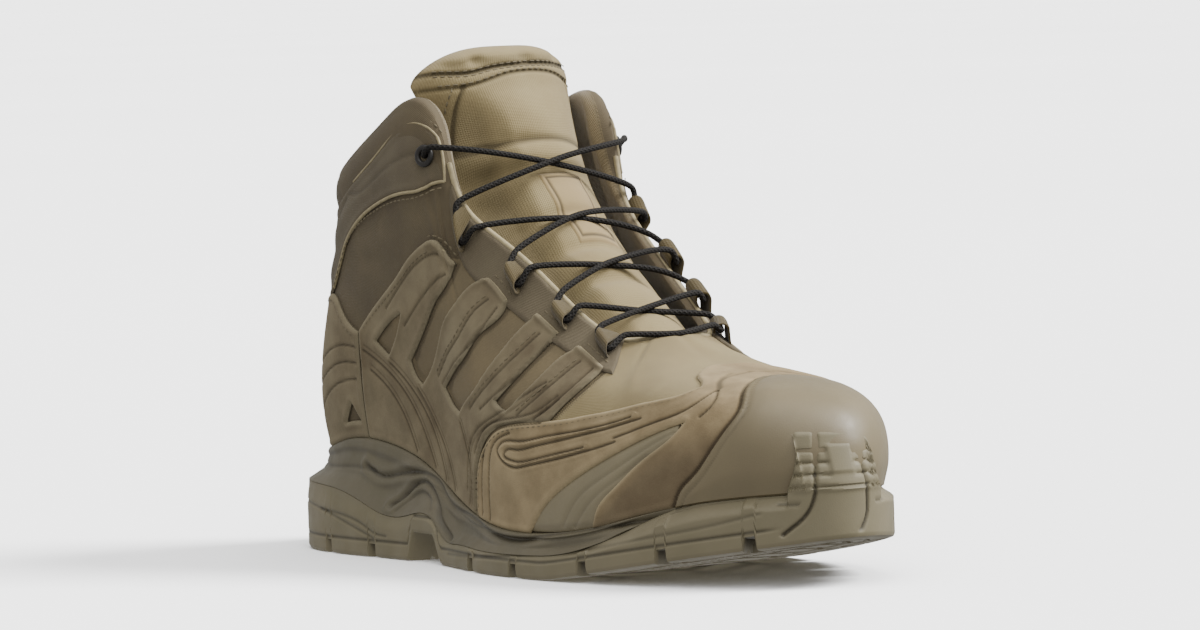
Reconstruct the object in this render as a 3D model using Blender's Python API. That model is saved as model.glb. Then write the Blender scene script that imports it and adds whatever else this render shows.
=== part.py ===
"""A mid-height trail boot for the right foot, standing empty on its sole.

Run it with: blender --background --python part.py

The boot points along +X, its outer (lateral) side faces -Y and its inner (medial) side +Y.
The shapes are worked out in millimetres, with x counted from the back of the heel, and are
moved to metres and to an origin under the middle of the sole when each mesh is made.
"""

import math

import bmesh
import bpy
import numpy as np

MM = 0.001

# ---------------------------------------------------------------- driving sizes, in millimetres
GAP = 0.3  # between two curved pieces that meet
BED = 0.6  # the same, where both are bent round the heel and the toe
LUG_DEPTH = 4.5
RUBBER = 3.0  # the outsole's base and its side wall
WALL = 2.4  # the upper's laminate
CUFF_WALL = 8.0  # the padded collar
CUFF_DEPTH = 34.0  # how far the padding reaches down from the collar's edge
RIM = 2.6  # the midsole's lip outside the upper
TOE_SPRING = 17.0
BALL_X = 190.0  # where the toe spring starts
HEEL_BEVEL = 4.0
ARCH_LIFT = 10.0
ARCH_FLOOR = 0.6  # the share of that lift that the tray's floor follows
FLOOR = 2.4  # the tray's floor above the lugs
INSOLE_THICKNESS = 4.2
SEAT = 1.15  # under an overlay, so that its flat facets clear the upper's
OVERLAY = 1.3  # a suede or rubber layer on the upper
LACE_RADIUS = 1.05

# The sole's edge, seen from above: a row for each distance from the heel.
SOLE_EDGE = (
    # x, lateral, medial
    (3.0, -18.5, 18.0),
    (10.0, -29.0, 28.0),
    (25.0, -38.0, 36.5),
    (45.0, -42.0, 39.5),
    (75.0, -42.5, 38.5),
    (105.0, -43.5, 36.0),
    (130.0, -48.5, 37.0),
    (155.0, -54.5, 42.0),
    (180.0, -56.5, 46.5),
    (210.0, -54.5, 48.0),
    (240.0, -48.5, 44.0),
    (262.0, -40.0, 36.0),
    (280.0, -29.5, 26.5),
    (293.0, -17.5, 13.5),
)
HEEL_BACK = (-1.5, 0.0)
TOE_TIP = (299.5, -2.5)

# Heights along the sole: the board that the foot stands on and the top of the rubber's side.
SOLE_HEIGHTS = (
    # x, board, rubber
    (0.0, 27.0, 25.0),
    (30.0, 26.5, 24.0),
    (50.0, 26.0, 22.5),
    (62.0, 25.5, 19.5),
    (74.0, 25.0, 15.8),
    (88.0, 24.0, 15.0),
    (100.0, 22.5, 17.0),
    (109.0, 21.5, 15.5),
    (118.0, 20.0, 9.8),
    (132.0, 17.5, 8.2),
    (150.0, 14.5, 7.8),
    (180.0, 13.2, 7.8),
    (210.0, 13.4, 9.5),
    (235.0, 17.0, 13.8),
    (258.0, 21.0, 20.0),
    (276.0, 24.0, 25.0),
    (301.0, 27.5, 28.0),
)

# The upper's wall, from the heel (u = 0) along either side to the toe (u = 1). Each row is a
# profile that rises from the sole's lip to the collar's or the throat's edge: the lip's
# height, the top point, and the two handles that give the profile its curve, as a distance
# away from the foot and a distance up.
PROFILES = (
    # u, lip, top x, top y, top z, low out, low up, high out, high up
    (0.00, 37.0, 21.0, 0.0, 128.0, 9.5, 38.0, -9.0, -34.0),
    (0.07, 36.5, 23.0, -14.0, 128.8, 9.5, 38.0, -8.0, -34.0),
    (0.13, 36.5, 31.5, -25.5, 131.0, 9.5, 37.0, -4.0, -34.0),
    (0.20, 40.5, 51.0, -33.0, 139.0, 7.5, 36.0, 1.0, -35.0),
    (0.28, 40.0, 77.0, -37.5, 150.5, 5.5, 36.0, 3.0, -38.0),
    (0.36, 32.5, 101.5, -38.5, 158.0, 3.5, 38.0, 5.0, -45.0),
    (0.41, 25.0, 112.0, -36.0, 148.5, 2.0, 38.0, 7.0, -42.0),
    (0.46, 20.0, 118.0, -34.5, 130.0, 1.0, 36.0, 8.0, -36.0),
    (0.53, 16.2, 131.0, -32.5, 114.0, 2.0, 32.0, 9.0, -32.0),
    (0.61, 15.2, 150.0, -29.5, 101.0, 3.0, 28.0, 11.0, -28.0),
    (0.69, 18.0, 170.0, -26.0, 88.5, 4.0, 26.0, 13.0, -24.0),
    (0.76, 23.0, 186.0, -21.5, 80.0, 4.5, 27.0, 17.0, -19.0),
    (0.83, 28.0, 193.0, -15.0, 78.0, 6.5, 33.0, 26.0, -20.0),
    (0.92, 31.0, 196.0, -7.0, 79.5, 8.0, 41.0, 40.0, -24.0),
    (1.00, 32.0, 197.0, 0.0, 80.0, 8.0, 45.0, 46.0, -26.0),
)
LIP_INSET = (
    # u, how far the upper's foot stands in from the sole's edge
    (0.0, 11.5),
    (0.2, 10.5),
    (0.4, 8.0),
    (0.6, 6.5),
    (0.8, 6.0),
    (1.0, 6.5),
)


# ---------------------------------------------------------------- curves
def spline(knots, values, at, period=None):
    """A cubic spline through values at knots, smooth to its second derivative.

    The second derivatives M solve h0*M0 + 2(h0+h1)*M1 + h1*M2 = 6*(slope change) at each knot,
    with the ends joined where there is a period, and straight where there is none.
    """
    x = np.asarray(knots, float)
    y = np.asarray(values, float).reshape(len(x), -1)
    at = np.asarray(at, float)
    if period:
        at = np.mod(at - x[0], period) + x[0]
        x = np.append(x, x[0] + period)
        y = np.vstack([y, y[:1]])
    h = np.diff(x)
    slope = np.diff(y, axis=0) / h[:, None]
    n = len(x)
    a = np.zeros((n, n))
    b = np.zeros_like(y)
    for i in range(1, n - 1):
        a[i, i - 1], a[i, i], a[i, i + 1] = h[i - 1], 2 * (h[i - 1] + h[i]), h[i]
        b[i] = 6 * (slope[i] - slope[i - 1])
    if period:
        a[0, 0], a[0, 1], a[0, n - 2] = 2 * (h[-1] + h[0]), h[0], h[-1]
        b[0] = 6 * (slope[0] - slope[-1])
        a[n - 1, n - 1], a[n - 1, 0] = 1, -1
    else:
        a[0, 0] = a[n - 1, n - 1] = 1
    m = np.linalg.solve(a, b)
    i = np.clip(np.searchsorted(x, at, side="right") - 1, 0, n - 2)
    t, hi = (at - x[i])[..., None], h[i][..., None]
    rest = hi - t
    found = (
        (m[i] * rest**3 + m[i + 1] * t**3) / (6 * hi)
        + (y[i] / hi - m[i] * hi / 6) * rest
        + (y[i + 1] / hi - m[i + 1] * hi / 6) * t
    )
    return found[..., 0] if found.shape[-1] == 1 else found


def column(table, name):
    return np.array([row[name] for row in table], float)


def along(table, name, x):
    """One column of a table whose first column is the distance from the heel."""
    return spline(column(table, 0), column(table, name), np.clip(x, table[0][0], table[-1][0]))


def smoothstep(low, high, x):
    t = np.clip((np.asarray(x, float) - low) / (high - low), 0, 1)
    return t * t * (3 - 2 * t)


def closed_edge():
    """The sole's edge as (w, point) samples: w is 0 at the heel, 1 at the toe, 2 at the heel again."""
    lateral = [(x, left) for x, left, _ in SOLE_EDGE]
    medial = [(x, right) for x, _, right in reversed(SOLE_EDGE)]
    points = np.array([HEEL_BACK, *lateral, TOE_TIP, *medial])
    steps = np.linalg.norm(np.diff(np.vstack([points, points[:1]]), axis=0), axis=1)
    knots = np.concatenate([[0], np.cumsum(steps)[:-1]])
    total = steps.sum()
    toe = knots[len(lateral) + 1]
    dense = np.concatenate([np.linspace(0, toe, 600)[:-1], np.linspace(toe, total, 600)])
    line = spline(knots, points, dense, total)
    length = np.concatenate([[0], np.cumsum(np.linalg.norm(np.diff(line, axis=0), axis=1))])
    half = length[599]
    w = np.where(length <= half, length / half, 1 + (length - half) / (length[-1] - half))
    return w, line, half


EDGE_W, EDGE_LINE, HALF_EDGE = closed_edge()
EDGE_NORMAL = np.gradient(EDGE_LINE, axis=0)
EDGE_NORMAL = np.stack([EDGE_NORMAL[:, 1], -EDGE_NORMAL[:, 0]], 1)
EDGE_NORMAL /= np.linalg.norm(EDGE_NORMAL, axis=1)[:, None]
CENTRE = (EDGE_LINE.max(0) + EDGE_LINE.min(0)) / 2


def edge(w, out=0.0):
    """A point of the sole's edge in plan, moved out along the edge's normal."""
    w = np.mod(w, 2)
    point = np.stack([np.interp(w, EDGE_W, EDGE_LINE[:, k]) for k in (0, 1)], -1)
    return point + np.asarray(out, float)[..., None] * normal(w)


def normal(w):
    w = np.mod(w, 2)
    n = np.stack([np.interp(w, EDGE_W, EDGE_NORMAL[:, k]) for k in (0, 1)], -1)
    return n / np.linalg.norm(n, axis=-1, keepdims=True)


def fold(w):
    """w folded to 0 at the heel and 1 at the toe, whichever side it is on."""
    w = np.mod(w, 2)
    return np.where(w <= 1, w, 2 - w)


def mirrored(name, odd=False):
    """A column of PROFILES round the whole boot, as knots and values: odd for a sideways one."""
    u, value = column(PROFILES, 0), column(PROFILES, name)
    back = value[-2:0:-1] * (-1 if odd else 1)
    return np.concatenate([u, 2 - u[-2:0:-1]]), np.concatenate([value, back])


def profile(name, w, odd=False):
    return spline(*mirrored(name, odd), w, period=2.0)


def lip_height(w):
    return profile(1, w)


def lip_inset(w):
    return along(LIP_INSET, 1, fold(w))


def upper_surface(w, s):
    """The upper's outer face. s runs from 0 at the sole's lip to 1 at the top edge.

    Each profile is a cubic Bezier curve from the lip to the top point. Below the lip, for s
    under 0, the wall goes straight down into the sole by -s times 10 mm.
    """
    w, s = np.broadcast_arrays(np.asarray(w, float), np.asarray(s, float))
    foot = edge(w, -lip_inset(w))
    n = normal(w)
    base = np.concatenate([foot, lip_height(w)[..., None]], -1)
    top = np.stack([profile(2, w), profile(3, w, odd=True), profile(4, w)], -1)
    out3 = np.concatenate([n, np.zeros_like(n[..., :1])], -1)
    up3 = np.array([0.0, 0.0, 1.0])
    low = base + profile(5, w)[..., None] * out3 + profile(6, w)[..., None] * up3
    high = top + profile(7, w)[..., None] * out3 + profile(8, w)[..., None] * up3
    t = np.clip(s, 0, None)[..., None]
    r = 1 - t
    curve = r**3 * base + 3 * r * r * t * low + 3 * r * t * t * high + t**3 * top
    return curve + np.minimum(s, 0)[..., None] * 10.0 * up3


def upper_normal(w, s):
    """The unit normal of the upper's face, away from the foot."""
    e = 1e-3
    dw = upper_surface(w + e, s) - upper_surface(w - e, s)
    ds = upper_surface(w, s + e) - upper_surface(w, s - e)
    n = np.cross(ds, dw)
    n /= np.linalg.norm(n, axis=-1, keepdims=True)
    outwards = np.sum(n[..., :2] * normal(w), -1) + 1e-3 * n[..., 2]
    return n * np.where(outwards < 0, -1.0, 1.0)[..., None]


def offset_surface(w, s, out):
    w, s = np.broadcast_arrays(np.asarray(w, float), np.asarray(s, float))
    return upper_surface(w, s) + np.asarray(out, float)[..., None] * upper_normal(w, s)


def tread(x):
    """The height of the tread: flat under heel and ball, with toe spring and a heel bevel."""
    reach = np.clip((x - BALL_X) / (TOE_TIP[0] - BALL_X), 0, None)
    toe = TOE_SPRING * (reach - 0.05 * (1 - np.exp(-20 * reach)))
    heel = HEEL_BEVEL * np.clip((16 - x) / 16, 0, None) ** 2
    return toe + heel


def arch(x):
    """The gap between the heel block and the forefoot."""
    return ARCH_LIFT * smoothstep(93, 97, x) * (1 - smoothstep(110, 119, x))


def tray_floor(x, x_arch):
    """The height of the floor inside the rubber tray; it is thinner over the arch's gap."""
    return tread(x) + ARCH_FLOOR * arch(x_arch) + LUG_DEPTH + FLOOR


# ---------------------------------------------------------------- mesh helpers
COLLECTION = bpy.data.collections.new("trail_boot")
CUTTERS = bpy.data.collections.new("cutters")


def clear_scene():
    for obj in list(bpy.data.objects):
        bpy.data.objects.remove(obj)
    for found in (COLLECTION, CUTTERS):
        bpy.context.scene.collection.children.link(found)


def material(name, colour, roughness, metallic=0.0):
    made = bpy.data.materials.new(name)
    made.use_nodes = True
    shader = made.node_tree.nodes["Principled BSDF"]
    shader.inputs["Base Color"].default_value = (*colour, 1.0)
    shader.inputs["Roughness"].default_value = roughness
    shader.inputs["Metallic"].default_value = metallic
    return made


def to_frame(points):
    """Millimetres from the heel, to metres from the middle of the sole."""
    moved = np.array(points, float)
    moved[..., :2] -= CENTRE
    return moved * MM


def add_object(name, mesh, finish, smooth_angle=40):
    obj = bpy.data.objects.new(name, mesh)
    COLLECTION.objects.link(obj)
    if finish:
        mesh.materials.append(finish)
    mesh.shade_smooth()
    mesh.set_sharp_from_angle(angle=math.radians(smooth_angle))
    return obj


def ring_mesh(name, rings, join_ends=False):
    """A mesh through closed rings of equal length; points that meet become one."""
    rings = np.asarray(rings, float)
    rows, count = rings.shape[:2]
    bm = bmesh.new()
    verts = [bm.verts.new(p) for p in to_frame(rings).reshape(-1, 3)]
    for i in range(rows if join_ends else rows - 1):
        j = (i + 1) % rows
        for k in range(count):
            m = (k + 1) % count
            corners = (i * count + k, i * count + m, j * count + m, j * count + k)
            bm.faces.new([verts[c] for c in corners])
    bmesh.ops.remove_doubles(bm, verts=bm.verts, dist=1e-6)
    bmesh.ops.dissolve_degenerate(bm, edges=bm.edges, dist=1e-7)
    bmesh.ops.recalc_face_normals(bm, faces=bm.faces)
    mesh = bpy.data.meshes.new(name)
    bm.to_mesh(mesh)
    bm.free()
    return mesh


def slab_mesh(name, lower, upper, kept=None):
    """A closed slab between two equal grids of points, with walls round the cells that are kept."""
    if kept is None:
        kept = np.ones((lower.shape[0] - 1, lower.shape[1] - 1), bool)
    bm = bmesh.new()
    sheets = [
        [[bm.verts.new(p) for p in row] for row in to_frame(sheet)] for sheet in (lower, upper)
    ]
    border = {}
    for i, k in np.argwhere(kept):
        corners = [(i, k), (i + 1, k), (i + 1, k + 1), (i, k + 1)]
        for sheet in sheets:
            bm.faces.new([sheet[row][col] for row, col in corners])
        for side in zip(corners, corners[1:] + corners[:1]):
            if border.pop(side[::-1], None) is None:
                border[side] = True
    for (i, k), (j, m) in border:
        bm.faces.new((sheets[0][i][k], sheets[0][j][m], sheets[1][j][m], sheets[1][i][k]))
    bmesh.ops.delete(bm, geom=[v for v in bm.verts if not v.link_faces], context="VERTS")
    bmesh.ops.remove_doubles(bm, verts=bm.verts, dist=1e-6)
    bmesh.ops.recalc_face_normals(bm, faces=bm.faces)
    mesh = bpy.data.meshes.new(name)
    bm.to_mesh(mesh)
    bm.free()
    return mesh


def spine(w):
    """The line under the foot that a station's spoke runs in to; both sides share it."""
    u = fold(w)
    middle = (edge(u) + edge(2 - u)) / 2
    x = 26 + (middle[..., 0]) * (TOE_TIP[0] - 58) / TOE_TIP[0]
    return np.stack([x, middle[..., 1]], -1)


def middle_x(w):
    """The distance from the heel that a station shares with the one across from it."""
    u = fold(w)
    return (edge(u)[..., 0] + edge(2 - u)[..., 0]) / 2


def spoke(w, out, share):
    """A plan point between the spine (share 0) and the edge moved out (share 1)."""
    rim = edge(w, out)
    return spine(w) + np.asarray(share, float)[..., None] * (rim - spine(w))


def with_height(plan, z):
    return np.concatenate([plan, np.broadcast_to(z, plan.shape[:-1])[..., None]], -1)


# ---------------------------------------------------------------- outsole
GROOVES = (34.0, 66.0, 95.0, 172.0, 203.0, 240.0, 275.0, 308.0)  # mm round the edge
GROOVE_HALF = 1.8
GROOVE_SLOPE = 1.2
INNER_GROOVES = (66.0, 172.0, 240.0, 308.0)
BUMPER_TOP = 51.5
BUMPER_HALF = 15.0  # half the width of its top edge
BUMPER_SLOPE = 9.0
BUMPER_IN = 2.3
BUMPER_OUT = 4.2


# Places round half the sole, in mm from the heel, that the body's pieces are drawn through:
# close together round the heel and the toe and at the ends of the arch's gap.
BODY_MARKS = (0.0, 9.0, 18.0, 28.0, 38.0, 48.0, 60.0, 76.0, 92.0, 106.0, 120.0, 134.0, 145.0)
BODY_MARKS += (158.0, 172.0, 187.0, 204.0, 222.0, 240.0, 256.0, 270.0, 282.0, 293.0, 303.0)
BODY_MARKS += (312.0, 320.0, 328.0, 336.0, 343.0)
ARCH_MARKS = (116.0, 124.0, 139.0)


def all_round(marks):
    """Both sides' stations, as w, from the marks of one."""
    half = np.unique(np.round(marks, 3)) / HALF_EDGE
    half = half[half < 0.997]
    return np.concatenate([half, [1.0], 2 - half[:0:-1]])


def sole_stations():
    """Places round the sole with a pair at each wall of each groove."""
    marks = [0.0, 12.0, 22.0, 48.0, 58.0, 80.0, 106.0, 116.0, 120.0, 124.0, 134.0, 139.0, 145.0]
    marks += [158.0, 187.0, 222.0, 257.0, 291.0]
    marks += [HALF_EDGE - BUMPER_HALF * share for share in (1.55, 1.0, 0.5)]
    for at in GROOVES:
        for reach in (GROOVE_HALF, GROOVE_HALF + GROOVE_SLOPE):
            marks += [at - reach, at + reach]
    return all_round(marks)


def in_groove(w, grooves):
    """1 where the tread is cut away at a station, 0 on a lug."""
    place = fold(w) * HALF_EDGE
    near = np.min([np.abs(place - at) for at in grooves], axis=0)
    return (near < GROOVE_HALF + GROOVE_SLOPE / 2).astype(float)


def bumper_share(w):
    """1 over the bumper at the toe's tip, falling to 0 at its sides."""
    from_tip = (1 - fold(w)) * HALF_EDGE
    return 1 - smoothstep(BUMPER_HALF, BUMPER_HALF + BUMPER_SLOPE, from_tip)


def rubber_top(w):
    """The upper edge of the rubber: it rises into the bumper at the toe."""
    side = along(SOLE_HEIGHTS, 2, edge(w)[..., 0])
    return side + (BUMPER_TOP - side) * bumper_share(w)


def surface_at_height(w, z):
    """s of the upper's face at a height, on each profile."""
    levels = np.linspace(0, 1, 81)
    heights = upper_surface(w[:, None], levels[None, :])[..., 2]
    return np.array([np.interp(zz, h, levels) for zz, h in zip(np.broadcast_to(z, w.shape), heights)])


def toe_wall(w, z, out):
    """A point outside the upper's face at a height above the lip."""
    s = surface_at_height(w, z)
    return offset_surface(w, s, out + 0 * w)


def make_outsole(finish):
    """A rubber tray with lugs under it; its wall turns up over the toe as a bumper."""
    w = sole_stations()
    x = edge(w)[..., 0]
    base = tread(x) + arch(middle_x(w))
    cut = in_groove(w, GROOVES) * LUG_DEPTH
    inner_cut = in_groove(w, INNER_GROOVES) * LUG_DEPTH
    base_inner = tread(spine(w)[..., 0]) + arch(middle_x(w))
    trench = base_inner + LUG_DEPTH * (1 - arch(middle_x(w)) / ARCH_LIFT)
    floor = tray_floor(x, middle_x(w))
    floor_in = tray_floor(spine(w)[..., 0], middle_x(w))
    top = rubber_top(w)
    lip = lip_height(w)
    bump = (top > lip + 2)[:, None]
    low = np.where(bump[:, 0], lip, base + LUG_DEPTH + 0.7 * (top - base - LUG_DEPTH))
    zero = 0 * w
    tray = -0.8 - RUBBER
    plain = with_height(edge(w, zero - 0.8), top)
    plain_in = with_height(edge(w, zero + tray), top)
    face = toe_wall(w, np.maximum(top, lip + 2), BUMPER_OUT)
    face_in = toe_wall(w, np.maximum(top, lip + 2), BUMPER_IN)
    low_in = toe_wall(w, lip + 1.5, BUMPER_IN)
    rings = [
        with_height(spoke(w, -2.0, zero), base_inner + inner_cut),
        with_height(spoke(w, -2.0, zero + 0.52), base_inner + inner_cut),
        with_height(spoke(w, -2.0, zero + 0.56), trench),
        with_height(spoke(w, -2.0, zero + 0.62), trench),
        with_height(spoke(w, -2.0, zero + 0.66), base + cut),
        with_height(spoke(w, -1.6, zero + 1), base + cut),
        with_height(edge(w, zero), base + cut + 1.6),
        with_height(edge(w, zero), low),
        np.where(bump, face, plain),
        np.where(bump, face_in, plain_in),
        np.where(bump, low_in, plain_in),
        with_height(edge(w, zero + tray), np.minimum(top, lip) - 0.5),
        with_height(edge(w, zero + tray - 0.4), floor),
        with_height(spoke(w, -4.5, zero), floor_in),
    ]
    return add_object("outsole", ring_mesh("outsole", rings), finish, 30)


# ---------------------------------------------------------------- midsole
def make_midsole(finish):
    """The moulded chassis: it fills the rubber tray and rises round the upper's foot as a wave."""
    w = all_round(BODY_MARKS + ARCH_MARKS)
    x = edge(w)[..., 0]
    floor = tray_floor(x, middle_x(w)) + BED + GAP
    floor_in = tray_floor(spine(w)[..., 0], middle_x(w)) + BED + GAP
    lip = lip_height(w)
    side = along(SOLE_HEIGHTS, 2, x)
    rubber = np.minimum(side, lip - 2.5)
    board = along(SOLE_HEIGHTS, 1, x)
    board_in = along(SOLE_HEIGHTS, 1, spine(w)[..., 0])
    tray = -0.8 - RUBBER - BED
    band = np.clip(0.28 * (lip - rubber), 1.2, 8.0)
    inset = -lip_inset(w)
    waist = 1.6 * (1 - smoothstep(0.72, 0.84, fold(w)))
    # Behind the bumper the chassis keeps inside the rubber's wall.
    behind = (1 - fold(w)) * HALF_EDGE < BUMPER_HALF + BUMPER_SLOPE + 6
    limit = np.where(behind, tray, 0.0)
    shoulder = 0.45 * (lip - band) + 0.55 * rubber
    rings = [
        with_height(spoke(w, tray - 1.2, 0 * w), floor_in),
        with_height(edge(w, 0 * w + tray - 1.2), floor),
        with_height(edge(w, 0 * w + tray - 0.5), rubber + BED),
        with_height(edge(w, np.minimum(limit, -0.8)), rubber + BED),
        with_height(edge(w, np.minimum(limit, 0.55 * (inset + RIM) - waist)), shoulder),
        with_height(edge(w, np.minimum(limit, 0.8 * (inset + RIM) - waist)), lip - band),
        with_height(edge(w, np.minimum(limit, inset + RIM + 0.6)), lip - 0.6 * band),
        with_height(edge(w, np.minimum(limit, inset + RIM)), lip - 0.15 * band),
        with_height(edge(w, inset + RIM - 1.2), lip + 0.2),
        with_height(edge(w, inset + GAP), lip),
        with_height(edge(w, inset + GAP), np.minimum(board, lip - 1.6)),
        with_height(spoke(w, inset, 0 * w), board_in),
    ]
    return add_object("midsole", ring_mesh("midsole", rings), finish, 30)


# ---------------------------------------------------------------- upper
def wall_thickness(w, s):
    """The laminate, thickened towards the collar's edge where it is padded."""
    u = fold(w)
    rise = upper_surface(w, 0 * w + 1)[..., 2] - upper_surface(w, s)[..., 2]
    padded = 1 - smoothstep(0, CUFF_DEPTH, rise)
    ankle = 1 - smoothstep(0.40, 0.50, u)
    return WALL + (CUFF_WALL - WALL) * padded * ankle


def upper_rings(w, outer_levels, inner_levels):
    """The closed wall: up the outer face, over the edge and down the lining."""
    board = np.minimum(along(SOLE_HEIGHTS, 1, edge(w)[..., 0]), lip_height(w) - 1.6)
    foot_s = (board + GAP - lip_height(w)) / 10.0
    rings = [offset_surface(w, foot_s, 0 * w)]
    rings += [offset_surface(w, 0 * w + s, 0 * w) for s in outer_levels]
    tip = wall_thickness(w, 0 * w + 1)
    rise = (0.35 * tip)[:, None] * np.array([0.0, 0.0, 1.0])
    rings.append(offset_surface(w, 0 * w + 1, -0.3 * tip) + rise * 0.9)
    rings.append(offset_surface(w, 0 * w + 1, -0.7 * tip) + rise * 0.9)
    rings += [offset_surface(w, 0 * w + s, -wall_thickness(w, 0 * w + s)) for s in inner_levels]
    rings.append(offset_surface(w, foot_s, 0 * w - WALL))
    return rings


OUTER_LEVELS = (0.0, 0.12, 0.24, 0.36, 0.5, 0.64, 0.78, 0.89, 1.0)
INNER_LEVELS = (1.0, 0.86, 0.7, 0.5, 0.3, 0.1)


def make_upper(finish):
    w = all_round(BODY_MARKS)
    mesh = ring_mesh("upper", upper_rings(w, OUTER_LEVELS, INNER_LEVELS), join_ends=True)
    return add_object("upper", mesh, finish)


def make_insole(finish):
    w = all_round(BODY_MARKS + ARCH_MARKS)
    inset = -lip_inset(w) - WALL - 0.8
    board_in = along(SOLE_HEIGHTS, 1, spine(w)[..., 0]) + BED + GAP
    rim = np.linalg.norm(edge(w, GAP - lip_inset(w)) - spine(w), axis=-1)
    share = 1 - (WALL + GAP + 0.8) / rim
    board = np.minimum(along(SOLE_HEIGHTS, 1, edge(w)[..., 0]), lip_height(w) - 1.6) + BED + GAP
    board = board_in + share * (board - board_in)
    rings = [
        with_height(spoke(w, inset, 0 * w), board_in),
        with_height(edge(w, inset), board),
        with_height(edge(w, inset), board + INSOLE_THICKNESS),
        with_height(spoke(w, inset, 0 * w), board_in + INSOLE_THICKNESS),
    ]
    return add_object("insole", ring_mesh("insole", rings), finish, 30)


# ---------------------------------------------------------------- tongue
# The middle of the tongue's outer face from under the vamp to its top rim, in side view, with
# its half width, how far its edges fall back from the middle, and its thickness there.
TONGUE = (
    # x, z, half width, fall, thickness
    (218.0, 67.3, 16.0, 3.0, 2.4),
    (206.0, 72.0, 18.0, 3.5, 3.0),
    (189.5, 79.6, 20.5, 7.5, 4.5),
    (170.5, 90.0, 24.2, 8.0, 6.0),
    (151.5, 103.5, 26.2, 9.5, 7.0),
    (134.5, 118.5, 27.2, 10.0, 7.5),
    (122.5, 136.0, 26.0, 12.0, 8.5),
    (115.5, 153.0, 27.0, 15.0, 9.5),
    (111.0, 164.5, 33.0, 17.0, 12.0),
    (108.0, 171.5, 34.0, 16.0, 13.0),
    (106.0, 178.0, 32.5, 14.0, 13.0),
)
TONGUE_SPACING = np.linspace(0, 1, len(TONGUE))


def tongue_row(v, name):
    return spline(TONGUE_SPACING, column(TONGUE, name), v)


def tongue_path(v):
    """The middle line's x and z, and its unit normal forward and up."""
    v = np.asarray(v, float)
    point = np.stack([tongue_row(v, 0), tongue_row(v, 1)], -1)
    ahead = np.stack([tongue_row(v + 1e-3, 0), tongue_row(v + 1e-3, 1)], -1)
    behind = np.stack([tongue_row(v - 1e-3, 0), tongue_row(v - 1e-3, 1)], -1)
    along_it = ahead - behind
    along_it /= np.linalg.norm(along_it, axis=-1, keepdims=True)
    across = np.stack([along_it[..., 1], -along_it[..., 0] * (1 - smoothstep(0.55, 0.72, v))], -1)
    return point, across / np.linalg.norm(across, axis=-1, keepdims=True)


def tongue_surface(v, a, depth):
    """A point of the tongue: v up its length, a across it from -1 (lateral) to 1, depth inward."""
    v, a, depth = np.broadcast_arrays(np.asarray(v, float), np.asarray(a, float), depth)
    point, across = tongue_path(v)
    half, fall = tongue_row(v, 2), tongue_row(v, 3)
    angle = np.abs(a) ** 2.2
    back = fall * angle + depth
    y = a * half * (1 - 0.04 * depth * np.abs(a) / 10)
    return np.stack([point[..., 0] - across[..., 0] * back, y, point[..., 1] - across[..., 1] * back], -1)


def make_tongue(finish):
    v = np.linspace(0, 1, 16)
    a = np.linspace(-1, 1, 10)
    grid_v, grid_a = np.meshgrid(v, a, indexing="ij")
    thick = tongue_row(grid_v, 4)
    side_round = 0.75 * np.abs(grid_a) ** 4
    top_round = 0.6 * smoothstep(0.93, 1.0, grid_v)
    outer = tongue_surface(grid_v, grid_a, 0.3 * thick * (side_round + top_round))
    inner = tongue_surface(grid_v, grid_a, thick * (1 - 0.48 * side_round) * (1 - 0.4 * top_round))
    return add_object("tongue", slab_mesh("tongue", outer, inner), finish, 60)


# ---------------------------------------------------------------- overlays
# Each overlay is a patch of the upper's face, given as rows of (w, s low, s high) or as columns
# whose w also changes on the way up. w runs past 1 on the medial side.
TOE_CAP = (
    # w, how far up the toe cap reaches at that place
    (0.812, 0.055),
    (0.838, 0.09),
    (0.862, 0.155),
    (0.895, 0.24),
    (0.930, 0.34),
    (0.955, 0.45),
    (0.975, 0.545),
    (1.000, 0.60),
    (1.025, 0.545),
    (1.045, 0.45),
    (1.070, 0.34),
    (1.105, 0.24),
    (1.138, 0.155),
    (1.162, 0.09),
    (1.188, 0.055),
)
VAMP_WING = (
    # w at the bottom, w at the top, s low, s high
    (0.482, 0.575, 0.03, 0.235),
    (0.535, 0.615, 0.03, 0.30),
    (0.600, 0.665, 0.03, 0.40),
    (0.655, 0.722, 0.03, 0.49),
    (0.705, 0.785, 0.03, 0.545),
    (0.745, 0.835, 0.05, 0.56),
    (0.785, 0.880, 0.20, 0.555),
    (0.838, 0.915, 0.30, 0.56),
    (0.862, 0.935, 0.33, 0.60),
    (0.885, 0.950, 0.38, 0.68),
    (0.930, 0.970, 0.50, 0.72),
    (0.965, 0.985, 0.60, 0.735),
    (1.000, 1.000, 0.63, 0.735),
)
HEEL_COUNTER = (
    # w, s low, s high
    (-0.226, 0.03, 0.36),
    (-0.190, 0.03, 0.46),
    (-0.165, 0.03, 0.505),
    (-0.120, 0.03, 0.515),
    (-0.060, 0.03, 0.51),
    (0.000, 0.03, 0.505),
    (0.060, 0.03, 0.51),
    (0.120, 0.03, 0.515),
    (0.165, 0.03, 0.505),
    (0.190, 0.03, 0.46),
    (0.226, 0.03, 0.36),
)
COLLAR_BAND = (
    # w, s low, s high
    (-0.425, 0.93, 0.985),
    (-0.400, 0.85, 0.965),
    (-0.372, 0.785, 0.945),
    (-0.283, 0.75, 0.905),
    (-0.230, 0.70, 0.89),
    (-0.195, 0.62, 0.88),
    (-0.165, 0.555, 0.88),
    (-0.075, 0.535, 0.88),
    (0.000, 0.53, 0.88),
    (0.075, 0.535, 0.88),
    (0.165, 0.555, 0.88),
    (0.195, 0.62, 0.88),
    (0.230, 0.70, 0.89),
    (0.283, 0.75, 0.905),
    (0.372, 0.785, 0.945),
    (0.400, 0.85, 0.965),
    (0.425, 0.93, 0.985),
)
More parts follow.
